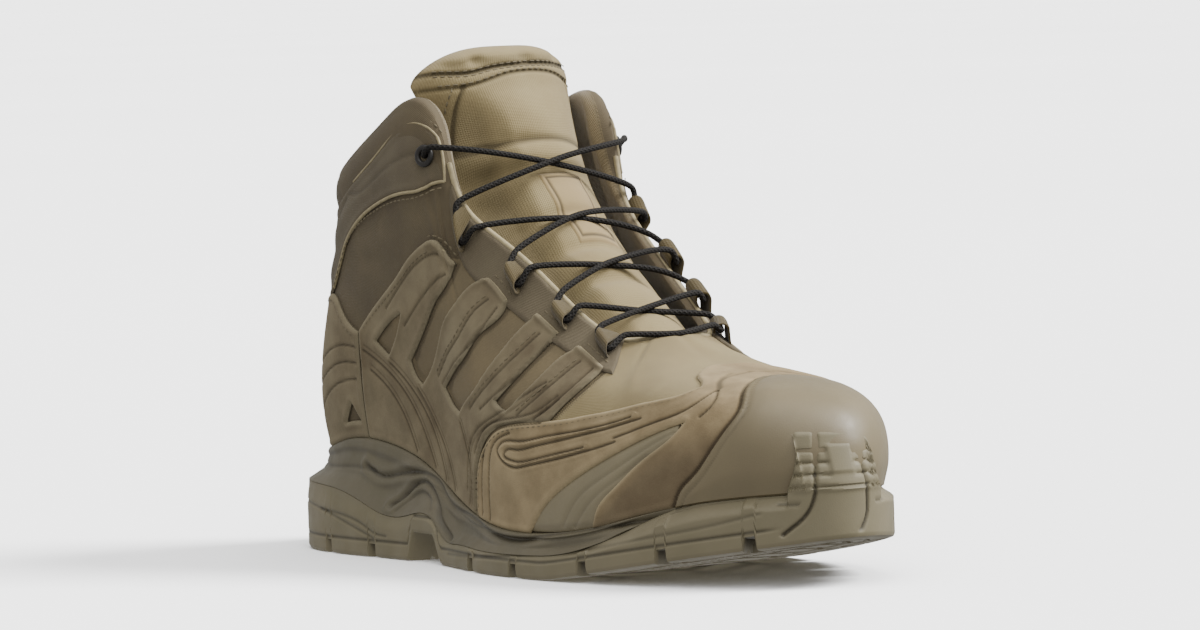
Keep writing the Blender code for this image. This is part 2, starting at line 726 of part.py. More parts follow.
# The lateral cage's columns from back to front, three to a strap: where each stands at the
# sole, at the foot of the straps and at the straps' ends. Between two straps there is a slit.
LATERAL_CAGE = (
    # strap, w sole, w middle, s middle, w end, s end
    (4, 0.236, 0.290, 0.36, 0.393, 0.675),
    (4, 0.265, 0.350, 0.41, 0.440, 0.74),
    (4, 0.300, 0.402, 0.45, 0.478, 0.785),
    (3, 0.310, 0.417, 0.45, 0.553, 0.865),
    (3, 0.350, 0.465, 0.47, 0.575, 0.865),
    (3, 0.386, 0.515, 0.48, 0.595, 0.855),
    (2, 0.396, 0.530, 0.48, 0.650, 0.885),
    (2, 0.414, 0.552, 0.49, 0.667, 0.880),
    (2, 0.428, 0.572, 0.50, 0.684, 0.865),
    (1, 0.438, 0.587, 0.50, 0.724, 0.875),
    (1, 0.452, 0.630, 0.50, 0.748, 0.84),
    (1, 0.466, 0.672, 0.50, 0.770, 0.79),
)
MEDIAL_PANEL = (
    # w sole, w end, s low, s end
    (1.765, 1.750, 0.03, 0.37),
    (1.710, 1.690, 0.03, 0.46),
    (1.660, 1.620, 0.03, 0.58),
    (1.620, 1.560, 0.03, 0.70),
    (1.590, 1.500, 0.03, 0.80),
    (1.570, 1.440, 0.03, 0.84),
    (1.555, 1.380, 0.03, 0.86),
    (1.542, 1.300, 0.03, 0.86),
    (1.530, 1.245, 0.03, 0.83),
)


def overlay_mesh(name, w, s, kept=None):
    w, s = np.broadcast_arrays(w, s)
    lower = offset_surface(w, s, SEAT + 0 * w)
    return slab_mesh(name, lower, offset_surface(w, s, SEAT + OVERLAY + 0 * w), kept)


def make_toe_cap(finish):
    rows = np.array(TOE_CAP)
    knots = np.linspace(0, 1, len(rows))
    at = np.linspace(0, 1, 25)
    w = np.interp(at, knots, rows[:, 0])
    high = np.interp(at, knots, rows[:, 1])
    share = np.linspace(0, 1, 7)[None, :]
    # The cap stops just above the bumper, which covers the toe below it.
    near = np.where(w < 1, w + 2.0 / HALF_EDGE, w - 2.0 / HALF_EDGE)
    near = np.where(np.abs(w - 1) < 2.0 / HALF_EDGE, 1.0, near)
    raised = rubber_top(near)
    low = np.where(raised > lip_height(w) + 1, surface_at_height(w, raised + 1.2), 0.028)
    return add_object(
        "toe_cap",
        overlay_mesh("toe_cap", w[:, None], low[:, None] + (high - low)[:, None] * share),
        finish,
    )


def make_vamp_overlay(finish):
    rows = np.array(VAMP_WING)
    back = rows[-2::-1].copy()
    back[:, :2] = 2 - back[:, :2]
    rows = np.vstack([rows, back])
    knots = np.linspace(0, 1, len(rows))
    at = np.linspace(0, 1, 27)
    table = np.stack([np.interp(at, knots, rows[:, k]) for k in range(4)], 1)
    share = np.linspace(0, 1, 5)[None, :]
    w = table[:, :1] + (table[:, 1:2] - table[:, :1]) * share
    s = table[:, 2:3] + (table[:, 3:4] - table[:, 2:3]) * share
    return add_object("vamp_overlay", overlay_mesh("vamp_overlay", w, s), finish)


def make_band(name, table, finish, count, across):
    rows = np.array(table)
    knots = np.linspace(0, 1, len(rows))
    at = np.linspace(0, 1, count)
    w = np.interp(at, knots, rows[:, 0])[:, None]
    low = np.interp(at, knots, rows[:, 1])[:, None]
    high = np.interp(at, knots, rows[:, 2])[:, None]
    share = np.linspace(0, 1, across)[None, :]
    return add_object(name, overlay_mesh(name, w, low + (high - low) * share), finish)


def make_lateral_cage(finish):
    straps = column(LATERAL_CAGE, 0)
    rows = np.array(LATERAL_CAGE)[:, 1:]
    low = np.linspace(0, 1, 4)[None, :]
    high = np.linspace(0, 1, 5)[None, 1:]
    w_low = rows[:, :1] + (rows[:, 1:2] - rows[:, :1]) * low
    s_low = 0.03 + (rows[:, 2:3] - 0.03) * low
    w_high = rows[:, 1:2] + (rows[:, 3:4] - rows[:, 1:2]) * high
    s_high = rows[:, 2:3] + (rows[:, 4:5] - rows[:, 2:3]) * high
    w, s = np.hstack([w_low, w_high]), np.hstack([s_low, s_high])
    in_strap = straps[1:] == straps[:-1]
    below_slit = np.arange(w.shape[1] - 1) < low.shape[1] - 1
    kept = in_strap[:, None] | below_slit[None, :]
    return add_object("lateral_cage", overlay_mesh("lateral_cage", w, s, kept), finish)


def make_medial_panel(finish):
    rows = np.array(MEDIAL_PANEL)
    knots = np.linspace(0, 1, len(rows))
    at = np.linspace(0, 1, 15)
    table = np.stack([np.interp(at, knots, rows[:, k]) for k in range(4)], 1)
    share = np.linspace(0, 1, 6)[None, :]
    w = table[:, :1] + (table[:, 1:2] - table[:, :1]) * share
    s = table[:, 2:3] + (table[:, 3:4] - table[:, 2:3]) * share
    return add_object("medial_panel", overlay_mesh("medial_panel", w, s), finish)


# ---------------------------------------------------------------- lace guides, eyelets and lace
# Where the middle of each lace guide stands along the throat, from the bottom up.
GUIDES = (
    # name, w
    ("1", 0.778),
    ("2", 0.690),
    ("3", 0.605),
    ("4", 0.511),
)
GUIDE_LENGTH = 10.0
LOOP_RADIUS = 2.6
LOOP_RISE = 3.9
LOOP_IN = 2.2
RIBBON = 1.2
GUIDE_SEAT = 0.95
TAIL = 9.5
LEAD = 3.4  # how far the lace runs straight out of a guide
SLACK = 0.35  # the lace lies this far off the loop's middle, where it pulls
EYELET_W = 0.389
EYELET_S = 0.90
EYELET_TOP = 3.7
EDGE_TURN = 0.423  # where the top lace bends round the collar's front edge


def arc_step(w, s):
    """Millimetres along the upper's face for a unit of w and of s."""
    e = 1e-3
    dw = np.linalg.norm(upper_surface(w + e, s) - upper_surface(w - e, s)) / (2 * e)
    ds = np.linalg.norm(upper_surface(w, s) - upper_surface(w, s - e)) / e
    return dw, ds


def guide_section():
    """The folded webbing in section, as (away from the throat's edge, out from the upper)."""
    low = GUIDE_SEAT + RIBBON / 2
    path = [(TAIL, low), (0.7 * TAIL, low)]
    # The loop starts under its centre, goes round the edge's side and comes back over the top.
    path += [
        (LOOP_IN - LOOP_RADIUS * math.sin(t), LOOP_RISE - LOOP_RADIUS * math.cos(t))
        for t in np.radians(np.linspace(-10, 258, 8))
    ]
    path = np.array(path)
    step = np.gradient(path, axis=0)
    side = np.stack([-step[:, 1], step[:, 0]], 1) / np.linalg.norm(step, axis=1)[:, None]
    return np.vstack([path + side * RIBBON / 2, (path - side * RIBBON / 2)[::-1]])


def capped_mesh(name, rings):
    """A closed mesh through closed rings, with a face over each end."""
    rings = to_frame(rings)
    bm = bmesh.new()
    verts = [[bm.verts.new(p) for p in ring] for ring in rings]
    for lower, upper in zip(verts, verts[1:]):
        for k in range(len(lower)):
            m = (k + 1) % len(lower)
            bm.faces.new((lower[k], lower[m], upper[m], upper[k]))
    bm.faces.new(verts[0][::-1])
    bm.faces.new(verts[-1])
    bmesh.ops.recalc_face_normals(bm, faces=bm.faces)
    mesh = bpy.data.meshes.new(name)
    bm.to_mesh(mesh)
    bm.free()
    return mesh


def make_guide(name, w_mid, finish):
    section = guide_section()
    dw, ds = arc_step(w_mid, 0.97)
    half = GUIDE_LENGTH / 2 / dw
    rings = []
    for w in (w_mid - half, w_mid + half):
        s = 1 - np.clip(section[:, 0], 0, None) / ds
        ring = offset_surface(np.full(len(section), w), s, section[:, 1])
        beyond = np.clip(-section[:, 0], 0, None)[:, None]
        top, below = upper_surface(w, 1.0), upper_surface(w, 0.97)
        ring = ring + beyond * (top - below) / np.linalg.norm(top - below)
        rings.append(ring)
    return add_object(name, capped_mesh(name, np.array(rings)), finish, 50)


def ring_around(w, s, inner, outer, low, high, count=12):
    """A flat washer on the upper's face."""
    n = upper_normal(w, s)
    centre = upper_surface(w, s)
    across = np.cross(n, [0.0, 0.0, 1.0])
    across /= np.linalg.norm(across)
    up = np.cross(across, n)
    rings = []
    for k in range(count):
        t = 2 * math.pi * k / count
        ray = across * math.cos(t) + up * math.sin(t)
        corners = ((inner, low), (outer, low), (outer, high), (inner, high))
        rings.append([centre + ray * r + n * h for r, h in corners])
    return np.array(rings)


def make_eyelet(name, w, finish):
    rings = ring_around(w, EYELET_S, 2.3, 4.2, 2.7, EYELET_TOP)
    return add_object(name, ring_mesh(name, rings, join_ends=True), finish, 30)


def loop_axis(w_mid):
    """The middle of a guide's loop, where the lace lies, and the unit vector up the throat."""
    dw, ds = arc_step(w_mid, 0.97)
    half = GUIDE_LENGTH / 2 / dw * (-1 if w_mid < 1 else 1)
    ends = [offset_surface(w_mid + way * half, 1 - (LOOP_IN - SLACK) / ds, LOOP_RISE) for way in (-1, 1)]
    axis = ends[1] - ends[0]
    return (ends[0] + ends[1]) / 2, axis / np.linalg.norm(axis)


def lace_path(inside, outside, middle, far_outside, far_inside, count=10):
    """A cord that leaves one guide along its axis, arches over a middle point and enters another.

    Between the two outside points it is a cubic Bezier curve; its handles start along the
    guides' axes and are both moved by the same amount, so that the curve meets the middle.
    """
    first = outside - inside
    last = far_outside - far_inside
    first = 5.0 * first / np.linalg.norm(first)
    last = 5.0 * last / np.linalg.norm(last)
    shift = 4 / 3 * (middle - (outside + far_outside) / 2) - (first + last) / 2
    t = np.linspace(0, 1, count)[:, None]
    r = 1 - t
    curve = r**3 * outside + 3 * r * r * t * (outside + first + shift)
    curve = curve + 3 * r * t * t * (far_outside + last + shift) + t**3 * far_outside
    return np.vstack([inside, curve, far_inside])


def cord_mesh(name, path, radius, sides=6):
    rings = []
    tangents = np.gradient(path, axis=0)
    for point, tangent in zip(path, tangents):
        tangent = tangent / np.linalg.norm(tangent)
        a = np.cross(tangent, [0.0, 0.0, 1.0])
        a /= np.linalg.norm(a)
        b = np.cross(tangent, a)
        turn = np.linspace(0, 2 * np.pi, sides, endpoint=False)
        rings.append(point + radius * (np.cos(turn)[:, None] * a + np.sin(turn)[:, None] * b))
    return capped_mesh(name, np.array(rings))


def lace_ends():
    """The two points at each end of each stretch of lace: inside its guide, and just outside."""
    spots = {}
    for number, w in GUIDES:
        for side, place in (("lateral", w), ("medial", 2 - w)):
            middle, axis = loop_axis(place)
            for end, way in (("low", -1), ("high", 1)):
                reach = (GUIDE_LENGTH / 2 - 1.0, GUIDE_LENGTH / 2 + LEAD)
                spots[side, number, end] = [middle + way * distance * axis for distance in reach]
    for side, place in (("lateral", EYELET_W), ("medial", 2 - EYELET_W)):
        start = offset_surface(place, EYELET_S, EYELET_TOP + GAP + LACE_RADIUS + 1.0)
        turn_at = EDGE_TURN if place < 1 else 2 - EDGE_TURN
        away = np.array([0.75, -0.66 if place < 1 else 0.66, 0.0])
        spots[side, "5", "low"] = [start, upper_surface(turn_at, 1.0) + 5.6 * away]
    return spots


CROSSINGS = (
    # name, start, end, how far the middle is forward of and above the straight line
    ("lace_crossing_4", ("medial", "5", "low"), ("lateral", "4", "high"), 12.5, 7.5),
    ("lace_crossing_3", ("medial", "4", "low"), ("lateral", "3", "high"), 8.0, 8.5),
    ("lace_crossing_2", ("medial", "3", "low"), ("lateral", "2", "high"), 5.0, 7.5),
    ("lace_crossing_1", ("medial", "2", "low"), ("lateral", "1", "high"), 3.5, 6.0),
)
SWAP = {"medial": "lateral", "lateral": "medial"}


def cord_points(spots, start, end, forward, up):
    """The points that a stretch of lace is led through, over the middle of the tongue."""
    middle = (spots[start][1] + spots[end][1]) / 2 + np.array([forward, 0.0, up])
    return [*spots[start], middle, *spots[end][::-1]]


def make_crossing(name, start, end, forward, up, finish):
    """Two cords that cross over the tongue, joined where they touch."""
    spots = lace_ends()
    other = [(SWAP[spot[0]], *spot[1:]) for spot in (start, end)]
    first = lace_path(*cord_points(spots, start, end, forward, up))
    second = lace_path(*cord_points(spots, *other, forward + 0.4, up + 0.7), count=9)
    kept = add_object(name, cord_mesh(name, first, LACE_RADIUS), finish, 50)
    tool = bpy.data.objects.new(name + " second cord", cord_mesh(name + " second", second, LACE_RADIUS))
    CUTTERS.objects.link(tool)
    tool.hide_render = True
    tool.display_type = "WIRE"
    join = kept.modifiers.new("second cord", "BOOLEAN")
    join.operation = "UNION"
    join.solver = "EXACT"
    join.object = tool
    return kept


def make_lace_bar(finish):
    spots = lace_ends()
    ends = (("medial", "1", "low"), ("lateral", "1", "low"))
    path = lace_path(*cord_points(spots, *ends, 2.0, 8.0))
    return add_object("lace_bar", cord_mesh("lace_bar", path, LACE_RADIUS), finish, 50)


# ---------------------------------------------------------------- build
def main():
    clear_scene()
    rubber = material("moulded rubber", (0.24, 0.21, 0.15), 0.7)
    foam = material("moulded foam", (0.25, 0.22, 0.16), 0.75)
    fabric = material("coated fabric", (0.26, 0.22, 0.15), 0.85)
    lining = material("lining mesh", (0.24, 0.21, 0.15), 0.9)
    padded = material("padded fabric", (0.34, 0.28, 0.18), 0.9)
    suede = material("suede", (0.28, 0.22, 0.13), 0.95)
    webbing = material("webbing", (0.33, 0.28, 0.19), 0.85)
    metal = material("painted eyelet", (0.03, 0.028, 0.025), 0.5)
    cord = material("lace cord", (0.02, 0.018, 0.016), 0.8)
    make_outsole(rubber)
    make_midsole(foam)
    make_upper(fabric)
    make_insole(lining)
    make_tongue(padded)
    make_toe_cap(rubber)
    make_vamp_overlay(suede)
    make_band("heel_counter", HEEL_COUNTER, suede, 17, 5)
    make_band("collar_band", COLLAR_BAND, fabric, 29, 4)
    make_lateral_cage(suede)
    make_medial_panel(suede)
    for number, w in GUIDES:
        make_guide("guide_lateral_" + number, w, webbing)
        make_guide("guide_medial_" + number, 2 - w, webbing)
    make_eyelet("eyelet_lateral", EYELET_W, metal)
    make_eyelet("eyelet_medial", 2 - EYELET_W, metal)
    for name, start, end, forward, up in CROSSINGS:
        make_crossing(name, start, end, forward, up, cord)
    make_lace_bar(cord)


main()
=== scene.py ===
# %% [markdown]
# # A trail boot, dressed
# A mid-height trail boot for the right foot. The CAD solids give every size. The cells below
# rebuild each of them with its folds, seams, stitches, weave and tread. The length runs along
# x from heel to toe, the outer (lateral) side faces -y, and heights are along z. All shapes are
# worked out in millimetres from the back of the heel, and end up in metres in the frame.

# %% Tools and the frame
import math
import bpy
import numpy as np
from mathutils import Matrix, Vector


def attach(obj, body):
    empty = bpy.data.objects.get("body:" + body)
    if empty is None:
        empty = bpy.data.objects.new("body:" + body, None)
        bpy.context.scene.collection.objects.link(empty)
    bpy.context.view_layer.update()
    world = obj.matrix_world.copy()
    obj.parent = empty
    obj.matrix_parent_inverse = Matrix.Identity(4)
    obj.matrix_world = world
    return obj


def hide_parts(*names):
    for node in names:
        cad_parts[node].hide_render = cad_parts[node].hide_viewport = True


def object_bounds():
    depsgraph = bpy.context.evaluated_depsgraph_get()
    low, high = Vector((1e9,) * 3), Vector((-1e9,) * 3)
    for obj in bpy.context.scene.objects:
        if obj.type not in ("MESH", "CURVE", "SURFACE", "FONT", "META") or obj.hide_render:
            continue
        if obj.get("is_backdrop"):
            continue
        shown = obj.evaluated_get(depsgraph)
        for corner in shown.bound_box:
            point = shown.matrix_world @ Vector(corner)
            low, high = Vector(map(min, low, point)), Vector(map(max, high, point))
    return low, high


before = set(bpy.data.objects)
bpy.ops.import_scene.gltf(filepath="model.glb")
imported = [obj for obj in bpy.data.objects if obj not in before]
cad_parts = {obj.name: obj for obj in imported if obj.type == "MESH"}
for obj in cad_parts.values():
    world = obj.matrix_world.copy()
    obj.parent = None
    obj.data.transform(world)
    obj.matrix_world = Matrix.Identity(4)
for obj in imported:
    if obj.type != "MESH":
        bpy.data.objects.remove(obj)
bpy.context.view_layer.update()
MM = 0.001
print("solids:", len(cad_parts))

# %% [markdown]
# ## The boot's own sizes
# These tables and curves are the ones that the solids were made from. `w` runs round the sole's
# edge: 0 at the heel, 1 at the toe, back to 2 at the heel, first along the lateral side. `s`
# climbs the upper's face from the sole's lip (0) to the collar's or the throat's edge (1).

# %% Sizes, in millimetres
GAP = 0.3
BED = 0.6
LUG_DEPTH = 4.5
RUBBER = 3.0
WALL = 2.4
CUFF_WALL = 8.0
CUFF_DEPTH = 34.0
RIM = 2.6
TOE_SPRING = 17.0
BALL_X = 190.0
HEEL_BEVEL = 4.0
ARCH_LIFT = 10.0
ARCH_FLOOR = 0.6
FLOOR = 2.4
LACE_RADIUS = 1.05
BUMPER_TOP = 51.5
BUMPER_HALF = 15.0
BUMPER_SLOPE = 9.0
BUMPER_IN = 2.3
BUMPER_OUT = 4.2
SOLE_EDGE = (
    # x, lateral, medial
    (3, -18.5, 18),
    (10, -29, 28),
    (25, -38, 36.5),
    (45, -42, 39.5),
    (75, -42.5, 38.5),
    (105, -43.5, 36),
    (130, -48.5, 37),
    (155, -54.5, 42),
    (180, -56.5, 46.5),
    (210, -54.5, 48),
    (240, -48.5, 44),
    (262, -40, 36),
    (280, -29.5, 26.5),
    (293, -17.5, 13.5),
)
HEEL_BACK = (-1.5, 0.0)
TOE_TIP = (299.5, -2.5)
SOLE_HEIGHTS = (
    # x, board, rubber
    (0, 27, 25),
    (30, 26.5, 24),
    (50, 26, 22.5),
    (62, 25.5, 19.5),
    (74, 25, 15.8),
    (88, 24, 15),
    (100, 22.5, 17),
    (109, 21.5, 15.5),
    (118, 20, 9.8),
    (132, 17.5, 8.2),
    (150, 14.5, 7.8),
    (180, 13.2, 7.8),
    (210, 13.4, 9.5),
    (235, 17, 13.8),
    (258, 21, 20),
    (276, 24, 25),
    (301, 27.5, 28),
)
PROFILES = (
    # u, lip, top x, top y, top z, low out, low up, high out, high up
    (0.00, 37, 21, 0, 128, 9.5, 38, -9, -34),
    (0.07, 36.5, 23, -14, 128.8, 9.5, 38, -8, -34),
    (0.13, 36.5, 31.5, -25.5, 131, 9.5, 37, -4, -34),
    (0.20, 40.5, 51, -33, 139, 7.5, 36, 1, -35),
    (0.28, 40, 77, -37.5, 150.5, 5.5, 36, 3, -38),
    (0.36, 32.5, 101.5, -38.5, 158, 3.5, 38, 5, -45),
    (0.41, 25, 112, -36, 148.5, 2, 38, 7, -42),
    (0.46, 20, 118, -34.5, 130, 1, 36, 8, -36),
    (0.53, 16.2, 131, -32.5, 114, 2, 32, 9, -32),
    (0.61, 15.2, 150, -29.5, 101, 3, 28, 11, -28),
    (0.69, 18, 170, -26, 88.5, 4, 26, 13, -24),
    (0.76, 23, 186, -21.5, 80, 4.5, 27, 17, -19),
    (0.83, 28, 193, -15, 78, 6.5, 33, 26, -20),
    (0.92, 31, 196, -7, 79.5, 8, 41, 40, -24),
    (1.00, 32, 197, 0, 80, 8, 45, 46, -26),
)
LIP_INSET = (
    # u, how far the upper's foot stands in from the sole's edge
    (0, 11.5),
    (0.2, 10.5),
    (0.4, 8),
    (0.6, 6.5),
    (0.8, 6),
    (1, 6.5),
)


# %% Curves through the tables
def spline(knots, values, at, period=None):
    """A cubic spline through values at knots, smooth to its second derivative.

    The second derivatives M solve h0*M0 + 2(h0+h1)*M1 + h1*M2 = 6*(slope change) at each knot,
    with the ends joined where there is a period, and straight where there is none.
    """
    x = np.asarray(knots, float)
    y = np.asarray(values, float).reshape(len(x), -1)
    at = np.asarray(at, float)
    if period:
        at = np.mod(at - x[0], period) + x[0]
        x = np.append(x, x[0] + period)
        y = np.vstack([y, y[:1]])
    h = np.diff(x)
    slope = np.diff(y, axis=0) / h[:, None]
    n = len(x)
    a = np.zeros((n, n))
    b = np.zeros_like(y)
    for i in range(1, n - 1):
        a[i, i - 1], a[i, i], a[i, i + 1] = h[i - 1], 2 * (h[i - 1] + h[i]), h[i]
        b[i] = 6 * (slope[i] - slope[i - 1])
    if period:
        a[0, 0], a[0, 1], a[0, n - 2] = 2 * (h[-1] + h[0]), h[0], h[-1]
        b[0] = 6 * (slope[0] - slope[-1])
        a[n - 1, n - 1], a[n - 1, 0] = 1, -1
    else:
        a[0, 0] = a[n - 1, n - 1] = 1
    m = np.linalg.solve(a, b)
    i = np.clip(np.searchsorted(x, at, side="right") - 1, 0, n - 2)
    t, hi = (at - x[i])[..., None], h[i][..., None]
    rest = hi - t
    found = (
        (m[i] * rest**3 + m[i + 1] * t**3) / (6 * hi)
        + (y[i] / hi - m[i] * hi / 6) * rest
        + (y[i + 1] / hi - m[i + 1] * hi / 6) * t
    )
    return found[..., 0] if found.shape[-1] == 1 else found


def column(table, name):
    return np.array([row[name] for row in table], float)


def along(table, name, x):
    """One column of a table whose first column is the distance from the heel."""
    return spline(column(table, 0), column(table, name), np.clip(x, table[0][0], table[-1][0]))


def smoothstep(low, high, x):
    t = np.clip((np.asarray(x, float) - low) / (high - low), 0, 1)
    return t * t * (3 - 2 * t)


def bell(x, width):
    """A soft bump: 1 where x is 0, 0.37 at the width."""
    return np.exp(-((np.asarray(x, float) / width) ** 2))


def unit(vectors):
    """Vectors of length 1, along the last axis."""
    return vectors / np.linalg.norm(vectors, axis=-1, keepdims=True)


def run_length(line):
    """The length of a line of points from its start to each of its points."""
    return np.concatenate([[0], np.cumsum(np.linalg.norm(np.diff(line, axis=0), axis=1))])


# %% The sole's edge
def closed_edge():
    """The sole's edge as (w, point) samples, a closed spline through the table's points."""
    lateral = [(x, left) for x, left, _ in SOLE_EDGE]
    medial = [(x, right) for x, _, right in reversed(SOLE_EDGE)]
    points = np.array([HEEL_BACK, *lateral, TOE_TIP, *medial])
    *knots, total = run_length(np.vstack([points, points[:1]]))
    toe = knots[len(lateral) + 1]
    dense = np.concatenate([np.linspace(0, toe, 600)[:-1], np.linspace(toe, total, 600)])
    line = spline(knots, points, dense, total)
    length = run_length(line)
    half = length[599]
    w = np.where(length <= half, length / half, 1 + (length - half) / (length[-1] - half))
    return w, line, half


EDGE_W, EDGE_LINE, HALF_EDGE = closed_edge()
EDGE_NORMAL = np.gradient(EDGE_LINE, axis=0)
EDGE_NORMAL = unit(np.stack([EDGE_NORMAL[:, 1], -EDGE_NORMAL[:, 0]], 1))
CENTRE = (EDGE_LINE.max(0) + EDGE_LINE.min(0)) / 2


def normal(w):
    w = np.mod(w, 2)
    return unit(np.stack([np.interp(w, EDGE_W, EDGE_NORMAL[:, k]) for k in (0, 1)], -1))


def edge(w, out=0.0):
    """A point of the sole's edge in plan, moved out along the edge's normal."""
    w = np.mod(w, 2)
    point = np.stack([np.interp(w, EDGE_W, EDGE_LINE[:, k]) for k in (0, 1)], -1)
    return point + np.asarray(out, float)[..., None] * normal(w)


def fold(w):
    """w folded to 0 at the heel and 1 at the toe, whichever side it is on."""
    w = np.mod(w, 2)
    return np.where(w <= 1, w, 2 - w)


print("half the sole's edge is", round(HALF_EDGE, 1), "mm")


# %% The upper's face
def profile(name, w, odd=False):
    """A column of PROFILES, mirrored round the whole boot: odd for a sideways one."""
    u, value = column(PROFILES, 0), column(PROFILES, name)
    back = value[-2:0:-1] * (-1 if odd else 1)
    return spline(np.concatenate([u, 2 - u[-2:0:-1]]), np.concatenate([value, back]), w, period=2.0)


def lip_height(w):
    return profile(1, w)


def lip_inset(w):
    return along(LIP_INSET, 1, fold(w))


UP = np.array([0.0, 0.0, 1.0])


def upper_surface(w, s):
    """The upper's outer face: a cubic Bezier curve at each w from the lip to the top point.

    Below the lip, for s under 0, the wall goes straight down into the sole by -s times 10 mm.
    """
    w, s = np.broadcast_arrays(np.asarray(w, float), np.asarray(s, float))
    n = normal(w)
    base = np.concatenate([edge(w, -lip_inset(w)), lip_height(w)[..., None]], -1)
    top = np.stack([profile(2, w), profile(3, w, odd=True), profile(4, w)], -1)
    out3 = np.concatenate([n, np.zeros_like(n[..., :1])], -1)
    low = base + profile(5, w)[..., None] * out3 + profile(6, w)[..., None] * UP
    high = top + profile(7, w)[..., None] * out3 + profile(8, w)[..., None] * UP
    t = np.clip(s, 0, None)[..., None]
    r = 1 - t
    curve = r**3 * base + 3 * r * r * t * low + 3 * r * t * t * high + t**3 * top
    return curve + np.minimum(s, 0)[..., None] * 10.0 * UP


def face_slopes(w, s):
    """How the point moves in mm for each unit of w, and for each unit of s."""
    e = 1e-3
    dw = (upper_surface(w + e, s) - upper_surface(w - e, s)) / (2 * e)
    return dw, (upper_surface(w, s + e) - upper_surface(w, s - e)) / (2 * e)


def upper_normal(w, s):
    """The unit normal of the upper's face, away from the foot."""
    dw, ds = face_slopes(w, s)
    n = unit(np.cross(ds, dw))
    outwards = np.sum(n[..., :2] * normal(w), -1) + 1e-3 * n[..., 2]
    return n * np.where(outwards < 0, -1.0, 1.0)[..., None]


def offset_surface(w, s, out):
    w, s = np.broadcast_arrays(np.asarray(w, float), np.asarray(s, float))
    return upper_surface(w, s) + np.asarray(out, float)[..., None] * upper_normal(w, s)


STATIONS = np.linspace(0, 2, 241)
PROFILE_LENGTH = np.linalg.norm(
    np.diff(upper_surface(STATIONS[:, None], np.linspace(0, 1, 40)[None, :]), axis=1), axis=-1
).sum(1)


def climb(w, s):
    """Millimetres up the upper's face from the lip, for patterns that keep their real scale."""
    return s * np.interp(np.mod(w, 2), STATIONS, PROFILE_LENGTH)


# %% The sole's heights
def tread(x):
    """The height of the tread: flat under heel and ball, with toe spring and a heel bevel."""
    reach = np.clip((x - BALL_X) / (TOE_TIP[0] - BALL_X), 0, None)
    toe = TOE_SPRING * (reach - 0.05 * (1 - np.exp(-20 * reach)))
    heel = HEEL_BEVEL * np.clip((16 - x) / 16, 0, None) ** 2
    return toe + heel


def arch(x):
    """The gap between the heel block and the forefoot."""
    return ARCH_LIFT * smoothstep(93, 97, x) * (1 - smoothstep(110, 119, x))


def tray_floor(x, x_arch):
    """The height of the floor inside the rubber tray; it is thinner over the arch's gap."""
    return tread(x) + ARCH_FLOOR * arch(x_arch) + LUG_DEPTH + FLOOR


def spine(w):
    """The line under the foot that a station's spoke runs in to; both sides share it."""
    u = fold(w)
    middle = (edge(u) + edge(2 - u)) / 2
    x = 26 + middle[..., 0] * (TOE_TIP[0] - 58) / TOE_TIP[0]
    return np.stack([x, middle[..., 1]], -1)


def middle_x(w):
    """The distance from the heel that a station shares with the one across from it."""
    u = fold(w)
    return (edge(u)[..., 0] + edge(2 - u)[..., 0]) / 2


def spoke(w, out, share):
    """A plan point between the spine (share 0) and the edge moved out (share 1)."""
    rim = edge(w, out)
    return spine(w) + np.asarray(share, float)[..., None] * (rim - spine(w))


def with_height(plan, z):
    return np.concatenate([plan, np.broadcast_to(z, plan.shape[:-1])[..., None]], -1)


def surface_at_height(w, z):
    """s of the upper's face at a height, on each profile."""
    levels = np.linspace(0, 1, 161)
    heights = upper_surface(w[:, None], levels[None, :])[..., 2]
    z = np.broadcast_to(z, w.shape)
    return np.array([np.interp(one, h, levels) for one, h in zip(z, heights)])


print("the sole is", round(float(np.ptp(EDGE_LINE[:, 0])), 1), "mm long")

# %% [markdown]
# ## Putting shapes into Blender
# Every shape is worked out as arrays. A grid of points becomes quads; where a grid goes round,
# its last row joins its first. A patch is a layer of the upper cut to an outline in (w, s).

# %% Meshes from arrays
def to_frame(points):
    """Millimetres from the heel, to metres from the middle of the sole."""
    moved = np.array(points, float)
    moved[..., :2] -= CENTRE
    return moved * MM


def grid_quads(rows, cols, wrap_rows=False, wrap_cols=False):
    """The quads of a grid of points, as four point numbers each."""
    i = np.arange(rows if wrap_rows else rows - 1)[:, None]
    k = np.arange(cols if wrap_cols else cols - 1)[None, :]
    j, m = (i + 1) % rows, (k + 1) % cols
    corners = [i * cols + k, i * cols + m, j * cols + m, j * cols + k]
    return np.stack(corners, -1).reshape(-1, 4)


def fan(ring, centre):
    """Triangles from a closed ring of point numbers to one centre point."""
    ring = np.asarray(ring)
    return np.stack([ring, np.roll(ring, -1), np.full(len(ring), centre)], -1)


def end_fans(sides, count):
    """The two fans that close a tube of count points; its end points come after them."""
    first = fan(np.arange(sides)[::-1], count)
    return np.vstack([first, fan(np.arange(sides) + count - sides, count + 1)])


def signed_volume(points, quads, tris):
    """Six times the volume inside: its sign says which way the faces look."""
    tris = np.concatenate([quads[:, [0, 1, 2]], quads[:, [0, 2, 3]], tris])
    a, b, c = (points[tris[:, k]] for k in range(3))
    return float(np.sum(a * np.cross(b, c)))


